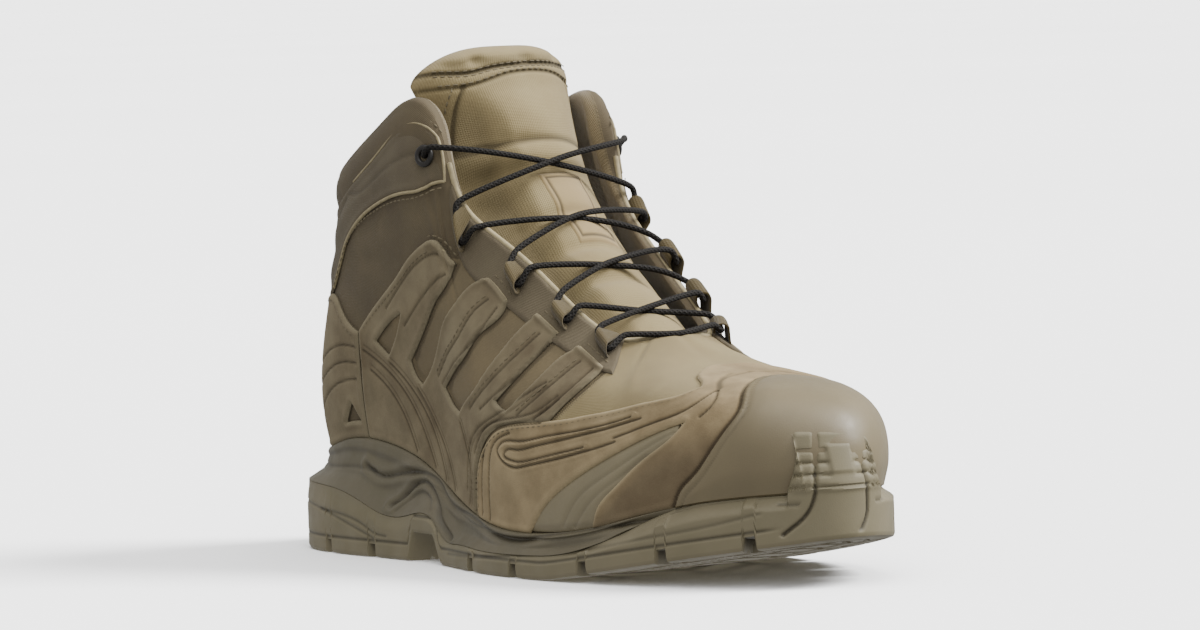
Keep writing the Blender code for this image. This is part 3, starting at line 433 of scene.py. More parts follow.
def put_mesh(name, points, quads, tris=(), finish=None, sharp=40.0, closed=False):
    """A mesh object from points in millimetres, quads and triangles; a closed one faces outward."""
    quads = np.asarray(quads, np.int64).reshape(-1, 4)
    tris = np.asarray(tris, np.int64).reshape(-1, 3)
    points = np.asarray(points, float).reshape(-1, 3)
    if closed and signed_volume(points - points.mean(0), quads, tris) < 0:
        quads, tris = quads[:, ::-1], tris[:, ::-1]
    loops = np.concatenate([quads.ravel(), tris.ravel()]).astype(np.int32)
    starts = np.concatenate([np.arange(len(quads)) * 4, 4 * len(quads) + np.arange(len(tris)) * 3])
    mesh = bpy.data.meshes.new(name)
    mesh.vertices.add(len(points))
    mesh.vertices.foreach_set("co", to_frame(points).astype(np.float32).ravel())
    mesh.loops.add(len(loops))
    mesh.loops.foreach_set("vertex_index", loops)
    mesh.polygons.add(len(starts))
    mesh.polygons.foreach_set("loop_start", starts.astype(np.int32))
    mesh.update(calc_edges=True)
    mesh.validate()
    mesh.shade_smooth()
    mesh.set_sharp_from_angle(angle=math.radians(sharp))
    if finish:
        mesh.materials.append(finish)
    obj = bpy.data.objects.new(name, mesh)
    bpy.context.scene.collection.objects.link(obj)
    return obj


def set_value(obj, name, values):
    """A number at each point, such as how worn an edge is."""
    found = obj.data.attributes.new(name, "FLOAT", "POINT")
    found.data.foreach_set("value", np.asarray(values, np.float32).ravel())


def set_uv(obj, uv_mm):
    """The weave's own coordinates: millimetres across and along the cloth, stored in metres."""
    uv = np.asarray(uv_mm, float).reshape(-1, 2) * MM
    corners = np.zeros(len(obj.data.loops), np.int32)
    obj.data.loops.foreach_get("vertex_index", corners)
    layer = obj.data.uv_layers.new(name="cloth")
    layer.data.foreach_set("uv", uv[corners].astype(np.float32).ravel())


def upper_uv(w, s):
    """The weave's coordinates on the upper: millimetres round it and up it."""
    return np.stack(np.broadcast_arrays(w * HALF_EDGE, climb(w, s)), -1)


def fit(obj, slot, *nodes):
    """The piece rides on the boot and stands for these solids, which are hidden. The slot is not used.
    """
    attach(obj, "root")
    if nodes:
        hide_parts(*nodes)
    print(obj.name, len(obj.data.polygons), "faces")
    return obj


# %% Lines on the upper, and how far a point is from them
# About how high the upper's face is, for steps along a line and for creases.
FACE_HEIGHT = 105.0


def trace(points, step=0.7):
    """A smooth line through a few (w, s) points, with a sample about every step millimetres."""
    place = run_length(np.array(points, float) * [HALF_EDGE, FACE_HEIGHT])
    return spline(place, points, np.linspace(0, place[-1], max(3, int(place[-1] / step) + 1)))


def even_line(points, scale=1.0, step=0.8):
    """A smooth line through points, in even steps; the scale turns the points to millimetres."""
    place = run_length(np.array(points, float) * scale)
    return spline(place, points, np.linspace(0, place[-1], int(place[-1] / step)))


def outline(*runs):
    """A closed outline from runs of (w, s) points: smooth within a run, with a corner between runs."""
    return np.vstack([trace(run)[:-1] for run in runs])


def nearest(points, line, closed=False):
    """For each point: the distance to a line of samples in space, and the place along it.

    The nearest sample comes from |p|^2 - 2 p.q + |q|^2; then each of the two segments that meet
    there is tried, and the place is the sample's number plus the share of the segment.
    """
    flat = points.reshape(-1, points.shape[-1])
    count = len(line)
    best = np.zeros(len(flat), int)
    square = np.sum(line**2, 1)
    for start in range(0, len(flat), 20000):
        block = flat[start : start + 20000]
        best[start : start + 20000] = np.argmin(square[None, :] - 2 * block @ line.T, axis=1)
    found = np.linalg.norm(flat - line[best], axis=1)
    place = best.astype(float)
    for way in (-1, 1):
        other = (best + way) % count if closed else np.clip(best + way, 0, count - 1)
        span = line[other] - line[best]
        size = np.maximum(np.sum(span**2, 1), 1e-12)
        t = np.clip(np.sum((flat - line[best]) * span, 1) / size, 0, 1)
        away = np.linalg.norm(flat - line[best] - t[:, None] * span, axis=1)
        better = away < found
        found = np.where(better, away, found)
        place = np.where(better, best + way * t, place)
    return found.reshape(points.shape[:-1]), place.reshape(points.shape[:-1])


def at_place(samples, place):
    """The value at a place along closed samples."""
    count = len(samples)
    low = np.floor(place).astype(int)
    t = (place - low)[..., None]
    return samples[low % count] * (1 - t) + samples[(low + 1) % count] * t


def inside(w, s, rims):
    """Whether the points of a (w, s) grid are inside an odd number of the closed outlines."""
    counts = np.zeros((len(w), len(s)), int)
    for rim in rims:
        a, b = rim, np.roll(rim, -1, axis=0)
        cross = (a[None, :, 0] <= w[:, None]) != (b[None, :, 0] <= w[:, None])
        run = np.where(b[:, 0] == a[:, 0], 1, b[:, 0] - a[:, 0])
        height = a[:, 1] + (w[:, None] - a[:, 0]) / run * (b[:, 1] - a[:, 1])
        for row in range(len(w)):
            found = np.sort(height[row][cross[row]])
            counts[row] += len(found) - np.searchsorted(found, s, side="right")
    return counts % 2 == 1


print("a line of", len(trace([(0.2, 0.1), (0.3, 0.2)])), "samples")


# %% The upper's skin, with its creases
# Soft troughs and ridges where the fabric gives: behind the ankle, at the flex line over the
# ball of the foot, and where the collar's padding is drawn in by its seams.
CREASES = (
    # w, s, turn in degrees, half length, half width, height
    (0.300, 0.640, -18, 17, 4.5, 0.7),
    (0.255, 0.600, -20, 15, 3.2, -0.6),
    (0.420, 0.830, -42, 11, 3, 0.8),
    (0.445, 0.790, -42, 12, 2.4, -0.9),
    (0.405, 0.745, -40, 10, 2.6, 0.5),
    (0.130, 0.720, 8, 16, 3.8, -0.5),
    (0.085, 0.640, 4, 18, 4, 0.5),
    (1.700, 0.640, 18, 17, 4.5, 0.7),
    (1.745, 0.600, 20, 15, 3.2, -0.6),
    (1.570, 0.820, 40, 11, 3, 0.8),
    (1.550, 0.780, 42, 12, 2.4, -0.8),
    (1.870, 0.720, -8, 16, 3.8, -0.5),
    (0.880, 0.900, 62, 15, 3.2, -0.6),
    (0.860, 0.780, 58, 17, 3.6, 0.5),
    (1.120, 0.900, -62, 15, 3.2, -0.6),
    (1.140, 0.780, -58, 17, 3.6, 0.5),
    (1.000, 0.930, 90, 20, 3, -0.5),
)


def crease(w, s):
    """The sum of the creases: each is height * exp(-(along/length)^2 - (across/width)^2)."""
    total = np.zeros(np.broadcast(w, s).shape)
    for cw, cs, turn, length, width, height in CREASES:
        apart = np.mod(w - cw + 1, 2) - 1
        x = apart * HALF_EDGE * 0.8
        y = (s - cs) * FACE_HEIGHT
        c, d = math.cos(math.radians(turn)), math.sin(math.radians(turn))
        total = total + height * bell(x * c + y * d, length) * bell(y * c - x * d, width)
    return total


def skin(w, s, out):
    """A point of the upper's creased face, moved out along the face's normal."""
    return offset_surface(w, s, out + crease(w, s))


print("creases:", len(CREASES))


# %% Layers cut to an outline
def grooves(points, lines):
    """How deep lines sink into a layer: depth * exp(-(distance/width)^2) for each."""
    total = np.zeros(points.shape[:-1])
    for line, width, depth in lines:
        away, _ = nearest(points, upper_surface(*line.T))
        total = total + depth * bell(away, width)
    return total


# The grid's own idea of the face: how tall it is, and how much shorter a way round it is.
GRID_TALL = 108.0
GRID_ROUND = 0.86
# Painted shade at the foot of a cut edge: how dark it is; 1 is the bottom of a groove 1 mm deep.
CUT_EDGE_PAINTED_SHADE = 2.4


def patch(
    name, rims, finish, seat, thick, cell=0.85, lines=(), relief=None, bevel=1.1, drop=1.2, shade=None
):
    """A layer of the upper cut to closed outlines, with holes for the outlines inside the first.

    Points of an even (w, s) grid that are within half a cell of an outline move onto it. Cells
    with no corner outside are kept, and the triangle of the other three where one corner is
    outside. The face stands seat + thick off the upper, rounded down over bevel towards the cut
    edge, where a wall goes down by drop into the layer below.
    """
    low, high = np.min([r.min(0) for r in rims], 0), np.max([r.max(0) for r in rims], 0)
    round_it, up_it = (high - low) * [HALF_EDGE * GRID_ROUND, GRID_TALL] / cell
    rows = np.linspace(low[0], high[0], int(round_it) + 2)
    cols = np.linspace(low[1], high[1], int(up_it) + 2)
    w, s = np.meshgrid(rows, cols, indexing="ij")
    within = inside(rows, cols, rims)
    base = upper_surface(w, s)
    away = np.full(w.shape, 1e9)
    near = np.stack([w, s], -1)
    for rim in rims:
        found, place = nearest(base, upper_surface(*rim.T), closed=True)
        closer = found < away
        near = np.where(closer[..., None], at_place(rim, place), near)
        away = np.where(closer, found, away)
    # A cell's real size, so that half of it is the same share everywhere.
    size = np.minimum(
        np.linalg.norm(np.gradient(base, axis=0), axis=-1),
        np.linalg.norm(np.gradient(base, axis=1), axis=-1),
    )
    snapped = away < 0.52 * size
    w, s = np.where(snapped, near[..., 0], w), np.where(snapped, near[..., 1], s)
    state = np.where(snapped, 0, np.where(within, 1, -1))
    depth = np.where(snapped, 0.0, away)
    quads = grid_quads(*w.shape)
    corner = state.ravel()[quads]
    middle_in = corner.sum(1) > 0
    whole = quads[(corner.min(1) >= 0) & middle_in]
    cut = quads[((corner < 0).sum(1) == 1) & ((corner > 0).sum(1) >= 1)]
    gone = np.argmax(state.ravel()[cut] < 0, axis=1)
    tris = np.stack([cut[np.arange(len(cut)), (gone + k) % 4] for k in (1, 2, 3)], -1)
    # Keep only the points in use, and number them again.
    used = np.zeros(w.size, bool)
    used[whole.ravel()] = True
    used[tris.ravel()] = True
    number = np.cumsum(used) - 1
    whole, tris = number[whole], number[tris]
    w, s, depth = w.ravel()[used], s.ravel()[used], depth.ravel()[used]
    points = upper_surface(w, s)
    pressed_and_shade = grooves(points, lines) if lines else np.zeros(len(w))
    rounding = np.sqrt(1 - (1 - np.clip(depth / bevel, 0, 1)) ** 2)
    height = seat + thick * (0.5 + 0.5 * rounding) - pressed_and_shade
    if relief is not None:
        height = height + relief(w, points, depth)
    top = skin(w, s, height)
    # Edges that only one face uses are the cut edge.
    sides = np.concatenate(
        [whole[:, [k, (k + 1) % 4]] for k in range(4)] + [tris[:, [k, (k + 1) % 3]] for k in range(3)]
    )
    key = np.sort(sides, axis=1)
    _, back, counts = np.unique(key[:, 0] * len(w) + key[:, 1], return_inverse=True, return_counts=True)
    open_sides = sides[counts[back.ravel()] == 1]
    rim_points = np.unique(open_sides)
    foot = skin(w[rim_points], s[rim_points], seat - drop)
    lower = np.full(len(w), -1)
    lower[rim_points] = len(w) + np.arange(len(rim_points))
    walls = np.hstack([open_sides[:, ::-1], lower[open_sides]])
    points = np.vstack([top, foot])
    quads = np.vstack([whole, walls])
    a, b, c = (points[whole[:, k]] for k in range(3))
    facing = np.sum(np.cross(b - a, c - a) * upper_normal(w, s)[whole[:, 0]], axis=1)
    if np.median(facing) < 0:
        quads, tris = quads[:, ::-1], tris[:, ::-1]
    obj = put_mesh(name, points, quads, tris, finish)
    numbers = np.concatenate([np.arange(len(w)), rim_points])
    set_uv(obj, upper_uv(w, s)[numbers])
    set_value(obj, "inward", np.concatenate([np.clip(depth, 0, 10), np.zeros(len(rim_points))]))
    # A cut edge's wall takes a painted shade that darkens quickly towards its foot, which stands well
    # below the next layer.
    set_value(obj, "pressed_and_shade", np.concatenate([pressed_and_shade, np.full(len(rim_points), CUT_EDGE_PAINTED_SHADE)]))
    # A painted shade, when given: how far each point's colour is darkened.
    if shade is not None:
        set_value(obj, "painted_shade", shade(w, s)[numbers])
    return obj


print("layers are ready")


# %% Stitches, cords and strips
CAPSULE = np.array([[-1.0, 0.25], [-0.8, 0.75], [-0.35, 1.0], [0.35, 1.0], [0.8, 0.75], [1.0, 0.25]])


def capsule_shape(sides=6):
    """A short rounded rod along x as (points, quads, triangles), one unit long and thick."""
    turn = np.linspace(0, 2 * np.pi, sides, endpoint=False)
    rings = np.stack(
        [
            np.broadcast_to(CAPSULE[:, :1], (len(CAPSULE), sides)),
            CAPSULE[:, 1:] * np.cos(turn),
            CAPSULE[:, 1:] * np.sin(turn),
        ],
        -1,
    )
    count = len(CAPSULE) * sides
    points = np.vstack([rings.reshape(-1, 3), [[-1.02, 0, 0], [1.02, 0, 0]]])
    quads = grid_quads(len(CAPSULE), sides, wrap_cols=True)
    return points, quads, end_fans(sides, count)


def even_places(line, pitch):
    """Points and directions about every pitch along a line of samples in space."""
    length = run_length(line)
    count = max(2, int(round(length[-1] / pitch)))
    at = (np.arange(count) + 0.5) * length[-1] / count
    spots, ahead, behind = (
        np.stack([np.interp(at + by, length, column) for column in line.T], -1) for by in (0, 0.4, -0.4)
    )
    return spots, unit(ahead - behind)


def rods(spots, ways, ups, half, radius, flat=0.7):
    """Many small rods at once: one at each spot, along its way, flattened along its up."""
    points, quads, tris = capsule_shape()
    sides = unit(np.cross(ups, ways))
    ups = np.cross(ways, sides)
    axes = np.stack([ways * half, sides * radius, ups * radius * flat], 1)
    placed = spots[:, None, :] + np.einsum("pk,nkj->npj", points, axes)
    first = (np.arange(len(spots)) * len(points))[:, None, None]
    return placed.reshape(-1, 3), (quads + first).reshape(-1, 4), (tris + first).reshape(-1, 3)


def rings_round(path, side, over, radius, sides):
    """Rings of points round a path, in the plane of two unit vectors at each of its points."""
    turn = np.linspace(0, 2 * np.pi, sides, endpoint=False)[:, None]
    return path[:, None] + radius * (np.cos(turn) * side[:, None] + np.sin(turn) * over[:, None])


def tube(path, radius, sides):
    """A round rod along a path as (points, quads, tris), with a rounded cap at each end."""
    way = unit(np.gradient(path, axis=0))
    side = unit(np.cross(way, UP))
    rings = rings_round(path, side, np.cross(side, way), radius, sides)
    ends = [path[0] - way[0] * radius * 0.4, path[-1] + way[-1] * radius * 0.4]
    quads = grid_quads(len(path), sides, wrap_cols=True)
    return np.vstack([rings.reshape(-1, 3), ends]), quads, end_fans(sides, len(path) * sides)


def joined(shapes):
    """Several (points, quads, tris) as one."""
    points, quads, tris = zip(*shapes)
    first = np.cumsum([0] + [len(part) for part in points])
    quads, tris = (np.vstack([part + at for part, at in zip(faces, first)]) for faces in (quads, tris))
    return np.vstack(points), quads, tris


STITCHES = []
STITCH_PITCH = 2.7


def stitch(line, out, half=0.95, radius=0.3):
    """Sews a row of stitches along a (w, s) line at a height off the upper."""
    spots, ways = even_places(skin(*line.T, out), STITCH_PITCH)
    _, place = nearest(spots, upper_surface(*line.T))
    near = np.round(place).astype(int)
    STITCHES.append(rods(spots, ways, upper_normal(*line[near].T), half, radius))


def sew(points, by, out, step=0.7):
    """Sews a row of stitches beside a line of points, moved sideways by so many mm."""
    stitch(moved_line(trace(points, step), by), out)


def pressed_lines(group, width, depth, by=0.0, step=1.2):
    """Lines to press into a layer, one for each list of points, moved sideways by so many mm."""
    lines = [trace(points, step) for points in group]
    return [(moved_line(line, by) if by else line, width, depth) for line in lines]


def moved_line(line, by):
    """A (w, s) line moved sideways by so many millimetres, to its left as it runs."""
    dw, ds = face_slopes(*line.T)
    way = unit(np.gradient(upper_surface(*line.T), axis=0))
    left = np.cross(upper_normal(*line.T), way)
    # Solve left = a*dw + b*ds in the face's own plane.
    ww, ss, ws = np.sum(dw * dw, 1), np.sum(ds * ds, 1), np.sum(dw * ds, 1)
    lw, ls = np.sum(left * dw, 1), np.sum(left * ds, 1)
    det = ww * ss - ws * ws
    return line + by * np.stack([(lw * ss - ls * ws) / det, (ls * ww - lw * ws) / det], 1)


print("stitches are ready")

# %% [markdown]
# ## Materials
# Each finish is a small network of nodes. Patterns that follow the cloth read its own
# coordinates in metres; grain and mottling read the object's coordinates.

# %% One function that adds a node
def linear(hex_colour):
    """An sRGB colour such as #85795f as linear red, green, blue and 1."""
    parts = np.array([int(hex_colour[k : k + 2], 16) / 255 for k in (1, 3, 5)])
    parts = np.where(parts <= 0.04045, parts / 12.92, ((parts + 0.055) / 1.055) ** 2.4)
    return (*[float(p) for p in parts], 1.0)


def add(tree, kind, inputs=None, stops=None, **settings):
    """Adds a node, sets its properties, and sets or links each input: a socket links, a value sets."""
    node = tree.nodes.new(kind)
    for name, value in settings.items():
        setattr(node, name, value)
    if stops:
        ramp = node.color_ramp
        while len(ramp.elements) < len(stops):
            ramp.elements.new(1.0)
        for element, (place, colour) in zip(ramp.elements, stops):
            element.position = place
            element.color = colour
    for name, value in (inputs or {}).items():
        if isinstance(value, bpy.types.NodeSocket):
            tree.links.new(value, node.inputs[name])
        else:
            node.inputs[name].default_value = value
    return node


def new_material(name, **shader_values):
    """A material with a Principled shader; the values are set on the shader's own sockets."""
    made = bpy.data.materials.new(name)
    made.use_nodes = True
    shader = made.node_tree.nodes["Principled BSDF"]
    for key, value in shader_values.items():
        shader.inputs[key.replace("_", " ")].default_value = value
    return made, made.node_tree, shader


def mixed(tree, share, first, second):
    """Blends two colours by a share."""
    return add(tree, "ShaderNodeMix", {0: share, 6: first, 7: second}, data_type="RGBA").outputs[2]


def combined(tree, kind, first, second=0.0):
    """One Math node: an operation on one or two numbers or sockets."""
    return add(tree, "ShaderNodeMath", {0: first, 1: second, 2: 0.0}, operation=kind).outputs[0]


def object_place(tree):
    """A point's place in the object, in metres."""
    return add(tree, "ShaderNodeTexCoord").outputs["Object"]


def noise(tree, place, scale, detail):
    """A noise from 0 to 1 that varies so many times a metre."""
    inputs = {"Vector": place, "Scale": scale, "Detail": detail}
    return add(tree, "ShaderNodeTexNoise", inputs).outputs["Fac"]


def ranged(tree, value, low, high, to_low, to_high):
    """A value from low to high as one from to_low to to_high."""
    values = {0: value, 1: low, 2: high, 3: to_low, 4: to_high}
    return add(tree, "ShaderNodeMapRange", values).outputs[0]


def attribute(tree, name):
    """A number that the mesh stores at its points."""
    return add(tree, "ShaderNodeAttribute", attribute_name=name).outputs["Fac"]


def marked(tree, name, low, high, most, colour, under):
    """Blends a colour in by up to most where a stored number goes from low to high."""
    share = ranged(tree, attribute(tree, name), low, high, 0.0, most)
    return mixed(tree, share, under, linear(colour))


def mottled(tree, place, scale, dark, light, detail=4.0, low=0.35, high=0.65):
    """A colour that wanders between two shades by a noise so many times a metre."""
    wander = noise(tree, place, scale, detail)
    stops = [(low, linear(dark)), (high, linear(light))]
    return add(tree, "ShaderNodeValToRGB", {"Fac": wander}, stops=stops).outputs["Color"]


def cloth_parts(tree):
    """The cloth's two coordinates, in metres."""
    cloth = add(tree, "ShaderNodeUVMap", uv_map="cloth")
    parts = add(tree, "ShaderNodeSeparateXYZ", {"Vector": cloth.outputs["UV"]})
    return parts.outputs["X"], parts.outputs["Y"]


def weave(tree, pitch):
    """A woven pattern from the cloth's coordinates: |sin(pi u / pitch) * sin(pi v / pitch)|."""
    waves = []
    for part in cloth_parts(tree):
        turned = combined(tree, "MULTIPLY", part, math.pi / (pitch * MM))
        waves.append(combined(tree, "SINE", turned))
    return combined(tree, "ABSOLUTE", combined(tree, "MULTIPLY", *waves))


def bumped(tree, shader, heights):
    """Chains bump nodes onto a shader's normal: (height socket, how deep in millimetres, strength)."""
    last = None
    for height, depth, strength in heights:
        inputs = {"Height": height, "Distance": depth * MM, "Strength": strength}
        if last is not None:
            inputs["Normal"] = last
        last = add(tree, "ShaderNodeBump", inputs).outputs["Normal"]
    tree.links.new(last, shader.inputs["Normal"])


# %% Suede, woven fabrics and mesh
def suede_material(name, dark, light, worn):
    """Split leather: a nap that mottles at a few millimetres, a fine grain, and lighter worn edges."""
    made, tree, shader = new_material(
        name, Roughness=0.93, Sheen_Weight=0.12, Sheen_Roughness=0.55, Specular_IOR_Level=0.15
    )
    shader.inputs["Sheen Tint"].default_value = linear("#c9bb9a")
    place = object_place(tree)
    nap = mottled(tree, place, 95.0, dark, light, detail=7.0, low=0.36, high=0.66)
    tone = ranged(tree, noise(tree, place, 26.0, 2.0), 0.35, 0.7, 0.0, 0.28)
    nap = mixed(tree, tone, nap, linear(worn))
    rim = ranged(tree, attribute(tree, "inward"), 0.2, 1.8, 0.42, 0.0)
    nap = mixed(tree, rim, nap, linear(worn))
    # Darker in its sunk lines, and with the painted shade at the feet of cut edges.
    nap = marked(tree, "pressed_and_shade", 0.08, 0.5, 0.75, "#241e15", nap)
    # Painted shade, where the mesh stores it, blends the nap towards dark brown.
    nap = mixed(tree, attribute(tree, "painted_shade"), nap, linear("#382f24"))
    tree.links.new(nap, shader.inputs["Base Color"])
    grain, lumps = noise(tree, place, 2600.0, 3.0), noise(tree, place, 420.0, 4.0)
    bumped(tree, shader, [(grain, 0.12, 0.7), (lumps, 0.25, 0.5)])
    return made


def woven_material(name, dark, light, pitch, roughness, depth, sheen=0.1, thread="#8d8168"):
    """A woven cloth: threads over and under at their real pitch, slightly uneven in colour."""
    made, tree, shader = new_material(
        name, Roughness=roughness, Sheen_Weight=sheen, Sheen_Roughness=0.5, Specular_IOR_Level=0.06
    )
    place = object_place(tree)
    shade = mottled(tree, place, 60.0, dark, light, detail=5.0, low=0.3, high=0.7)
    threads = weave(tree, pitch)
    shade = mixed(tree, combined(tree, "MULTIPLY", threads, 0.3), shade, linear(thread))
    # Darker in its sunk lines and seams, and with the painted shade kept in the same number: at the
    # feet of cut edges, along the straps' lower edges, in the gaps' corners and under the throat's
    # flap.
    shade = marked(tree, "pressed_and_shade", 0.1, 0.9, 0.72, "#1f1a12", shade)
    tree.links.new(shade, shader.inputs["Base Color"])
    bumped(tree, shader, [(threads, depth, 0.75), (noise(tree, place, 1500.0, 2.0), 0.06, 0.5)])
    return made


SUEDE = suede_material("suede", "#473e2f", "#59503e", "#686250")
# The same suede, painted lighter for the forefoot, which faces up into more light.
SUEDE_PAINTED_LIGHTER = suede_material("forefoot suede painted lighter", "#584b36", "#6d5f47", "#80755b")
QUARTER = woven_material("coated woven fabric", "#40392d", "#4b4333", 0.55, 0.7, 0.09, 0.02, "#554b3b")
# The quarter's coated cloth again, painted lighter where it shows in the gaps between the straps, which
# catch more light.
QUARTER_CLOTH_PAINTED_LIGHTER = woven_material("side mesh painted lighter", "#4c4434", "#594f3b", 0.55, 0.7, 0.09, 0.02, "#635845")
COLLAR_CLOTH = woven_material("collar fabric", "#433c30", "#4d4638", 0.6, 0.75, 0.12, 0.03, "#595140")
MESH_CLOTH = woven_material("vamp mesh", "#60553c", "#6c6145", 0.7, 0.85, 0.1, 0.08, "#786b4d")
TONGUE_CLOTH = woven_material("tongue fabric", "#675b40", "#706549", 0.62, 0.85, 0.12, 0.08, "#7c6e51")
LABEL_CLOTH = woven_material("label cloth", "#6e5e41", "#77684a", 0.35, 0.8, 0.04, 0.15, "#847452")
LINING = woven_material("lining knit", "#534935", "#5d523d", 0.9, 0.95, 0.22, 0.2, "#685d46")
WEBBING = woven_material("webbing", "#382f1c", "#3e3622", 0.9, 0.85, 0.2, 0.12, "#463d27")
INSOLE_CLOTH = woven_material("insole fabric", "#363126", "#3e382c", 0.8, 0.95, 0.15, 0.1, "#494335")
print("cloths:", len(bpy.data.materials))


# %% Rubber, foam, cord, paint and thread
def moulded_material(name, dark, light, roughness, grain_depth, hollow_colour):
    """Moulded rubber or foam: a fine sandblasted grain, soft blotches, and a darker colour in the
    hollows and in the painted shade at the feet of cut edges.
    """
    made, tree, shader = new_material(name, Roughness=roughness, Specular_IOR_Level=0.3)
    place = object_place(tree)
    shade = mottled(tree, place, 34.0, dark, light, low=0.34, high=0.68)
    shade = marked(tree, "pressed_and_shade", 0.15, 1.0, 0.75, hollow_colour, shade)
    tree.links.new(shade, shader.inputs["Base Color"])
    grain, wave = noise(tree, place, 2200.0, 2.0), noise(tree, place, 150.0, 3.0)
    rough = ranged(tree, wave, 0.3, 0.7, roughness - 0.07, roughness + 0.08)
    tree.links.new(rough, shader.inputs["Roughness"])
    bumped(tree, shader, [(grain, grain_depth, 0.6), (wave, 0.12, 0.3)])
    return made


RUBBER_FINISH = moulded_material("outsole rubber", "#514b38", "#5a5340", 0.62, 0.06, "#29251b")
TOE_FINISH = moulded_material("toe cap rubber", "#4f4633", "#574e39", 0.5, 0.05, "#2f2a1f")
CHASSIS_FINISH = moulded_material("chassis foam", "#413c2d", "#494333", 0.58, 0.04, "#211d15")
WEDGE_FINISH = moulded_material("welded film", "#564f3c", "#615944", 0.55, 0.08, "#3b3529")
GUARD_FINISH = moulded_material("ankle guard", "#4a422f", "#514934", 0.5, 0.04, "#2a241b")


def plain_material(name, dark, light, roughness, scale, depth):
    """A small part's finish: two close shades and a fine grain at its own scale."""
    made, tree, shader = new_material(name, Roughness=roughness, Specular_IOR_Level=0.25)
    place = object_place(tree)
    tree.links.new(mottled(tree, place, scale, dark, light), shader.inputs["Base Color"])
    bumped(tree, shader, [(noise(tree, place, scale * 4, 2.0), depth, 0.6)])
    return made


STRAND = 1.8
STRANDS = 4
LACE_ROUND = 6.6


def cord_material():
    """Braided lace: strands that lean both ways round a dark polyester cord."""
    made, tree, shader = new_material("lace cord", Roughness=0.8, Specular_IOR_Level=0.15)
    u, v = cloth_parts(tree)
    # Two sets of strands, one leaning each way: sin(a u + b v) and sin(a u - b v).
    along_it = combined(tree, "MULTIPLY", u, 2 * math.pi / (STRAND * MM))
    around = combined(tree, "MULTIPLY", v, STRANDS * 2 * math.pi / (LACE_ROUND * MM))
    one = combined(tree, "SINE", combined(tree, "ADD", along_it, around))
    two = combined(tree, "SINE", combined(tree, "SUBTRACT", along_it, around))
    braid = combined(tree, "MAXIMUM", one, two)
    share = ranged(tree, braid, -0.3, 1.0, 0.0, 1.0)
    shade = mixed(tree, share, linear("#0b0a09"), linear("#171411"))
    tree.links.new(shade, shader.inputs["Base Color"])
    bumped(tree, shader, [(braid, 0.18, 0.9)])
    return made


CORD_FINISH = cord_material()
THREAD = plain_material("thread", "#48402e", "#554d3b", 0.75, 900.0, 0.05)
PIPING = plain_material("piping", "#6e644b", "#7b7156", 0.7, 500.0, 0.05)
EYELET_PAINT = plain_material("eyelet paint", "#12100e", "#191613", 0.5, 200.0, 0.02)
print("materials:", len(bpy.data.materials))

# %% [markdown]
# ## The upper
# The quarters are one shell of coated fabric, padded at the collar, with a knit lining. Layers
# of suede, webbing, mesh and rubber lie on it, each cut to its own outline and sewn down.

# %% The shell and its lining
def wall_thickness(w, s):
    """The laminate, thickened towards the collar's edge where it is padded."""
    u = fold(w)
    rise = upper_surface(w, 0 * w + 1)[..., 2] - upper_surface(w, s)[..., 2]
    padded = 1 - smoothstep(0, CUFF_DEPTH, rise)
    ankle = 1 - smoothstep(0.40, 0.50, u)
    return WALL + (CUFF_WALL - WALL) * padded * ankle


SHELL_OUT = 0.5
shell_w = np.linspace(0, 2, 600, endpoint=False)
board = np.minimum(along(SOLE_HEIGHTS, 1, edge(shell_w)[:, 0]), lip_height(shell_w) - 1.6)
foot_s = (board + GAP - lip_height(shell_w)) / 10.0


def ankle_share(w):
    """1 round the ankle, where the collar is padded, and 0 over the forefoot."""
    return 1 - smoothstep(0.42, 0.50, fold(w))


def puff(w, s):
    """The collar's padding swells between its seams: a low cushion under the top edge."""
    top = bell(s - 0.945, 0.055) * 1.3 * ankle_share(w)
    back = bell(fold(w), 0.16) * bell(s - 0.70, 0.12) * 0.8
    return top + back


def collar_roll(w, turn):
    """A point of the rounded collar edge: turn 0 is the outer face's top, pi the lining's."""
    tip = wall_thickness(w, 0 * w + 1)
    out = -0.5 * tip * (1 - np.cos(turn)) + SHELL_OUT * np.cos(turn / 2)
    rise = 0.42 * tip * np.sin(turn)
    return offset_surface(w, 0 * w + 1, out) + rise[:, None] * UP


def shell_piece(name, rows, s, finish):
    """A piece of rings round the upper; s places each ring's cloth."""
    quads = grid_quads(len(rows), len(shell_w), wrap_cols=True)[:, ::-1]
    piece = put_mesh(name, rows, quads, finish=finish)
    set_uv(piece, upper_uv(shell_w[None, :], s[:, None]))
    return piece


outer_s = np.linspace(0, 1, 84)[:, None]
shell_rows = [offset_surface(shell_w, foot_s, 0 * shell_w + 0.05)]
grid_w, grid_s = np.broadcast_arrays(shell_w[None, :], outer_s)
lift = SHELL_OUT + puff(grid_w, grid_s) * (1 - smoothstep(0.985, 1.0, grid_s))
lift = lift * smoothstep(-0.02, 0.04, grid_s)
shell_rows += list(skin(grid_w, grid_s, lift))
shell_rows += [collar_roll(shell_w, turn) for turn in np.radians((25, 50, 75, 100))]
shell_s = np.concatenate([[0.0], outer_s[:, 0], [1.01, 1.02, 1.03, 1.04]])
fit(shell_piece("upper_shell", shell_rows, shell_s, QUARTER), "quarter_fabric", "upper")

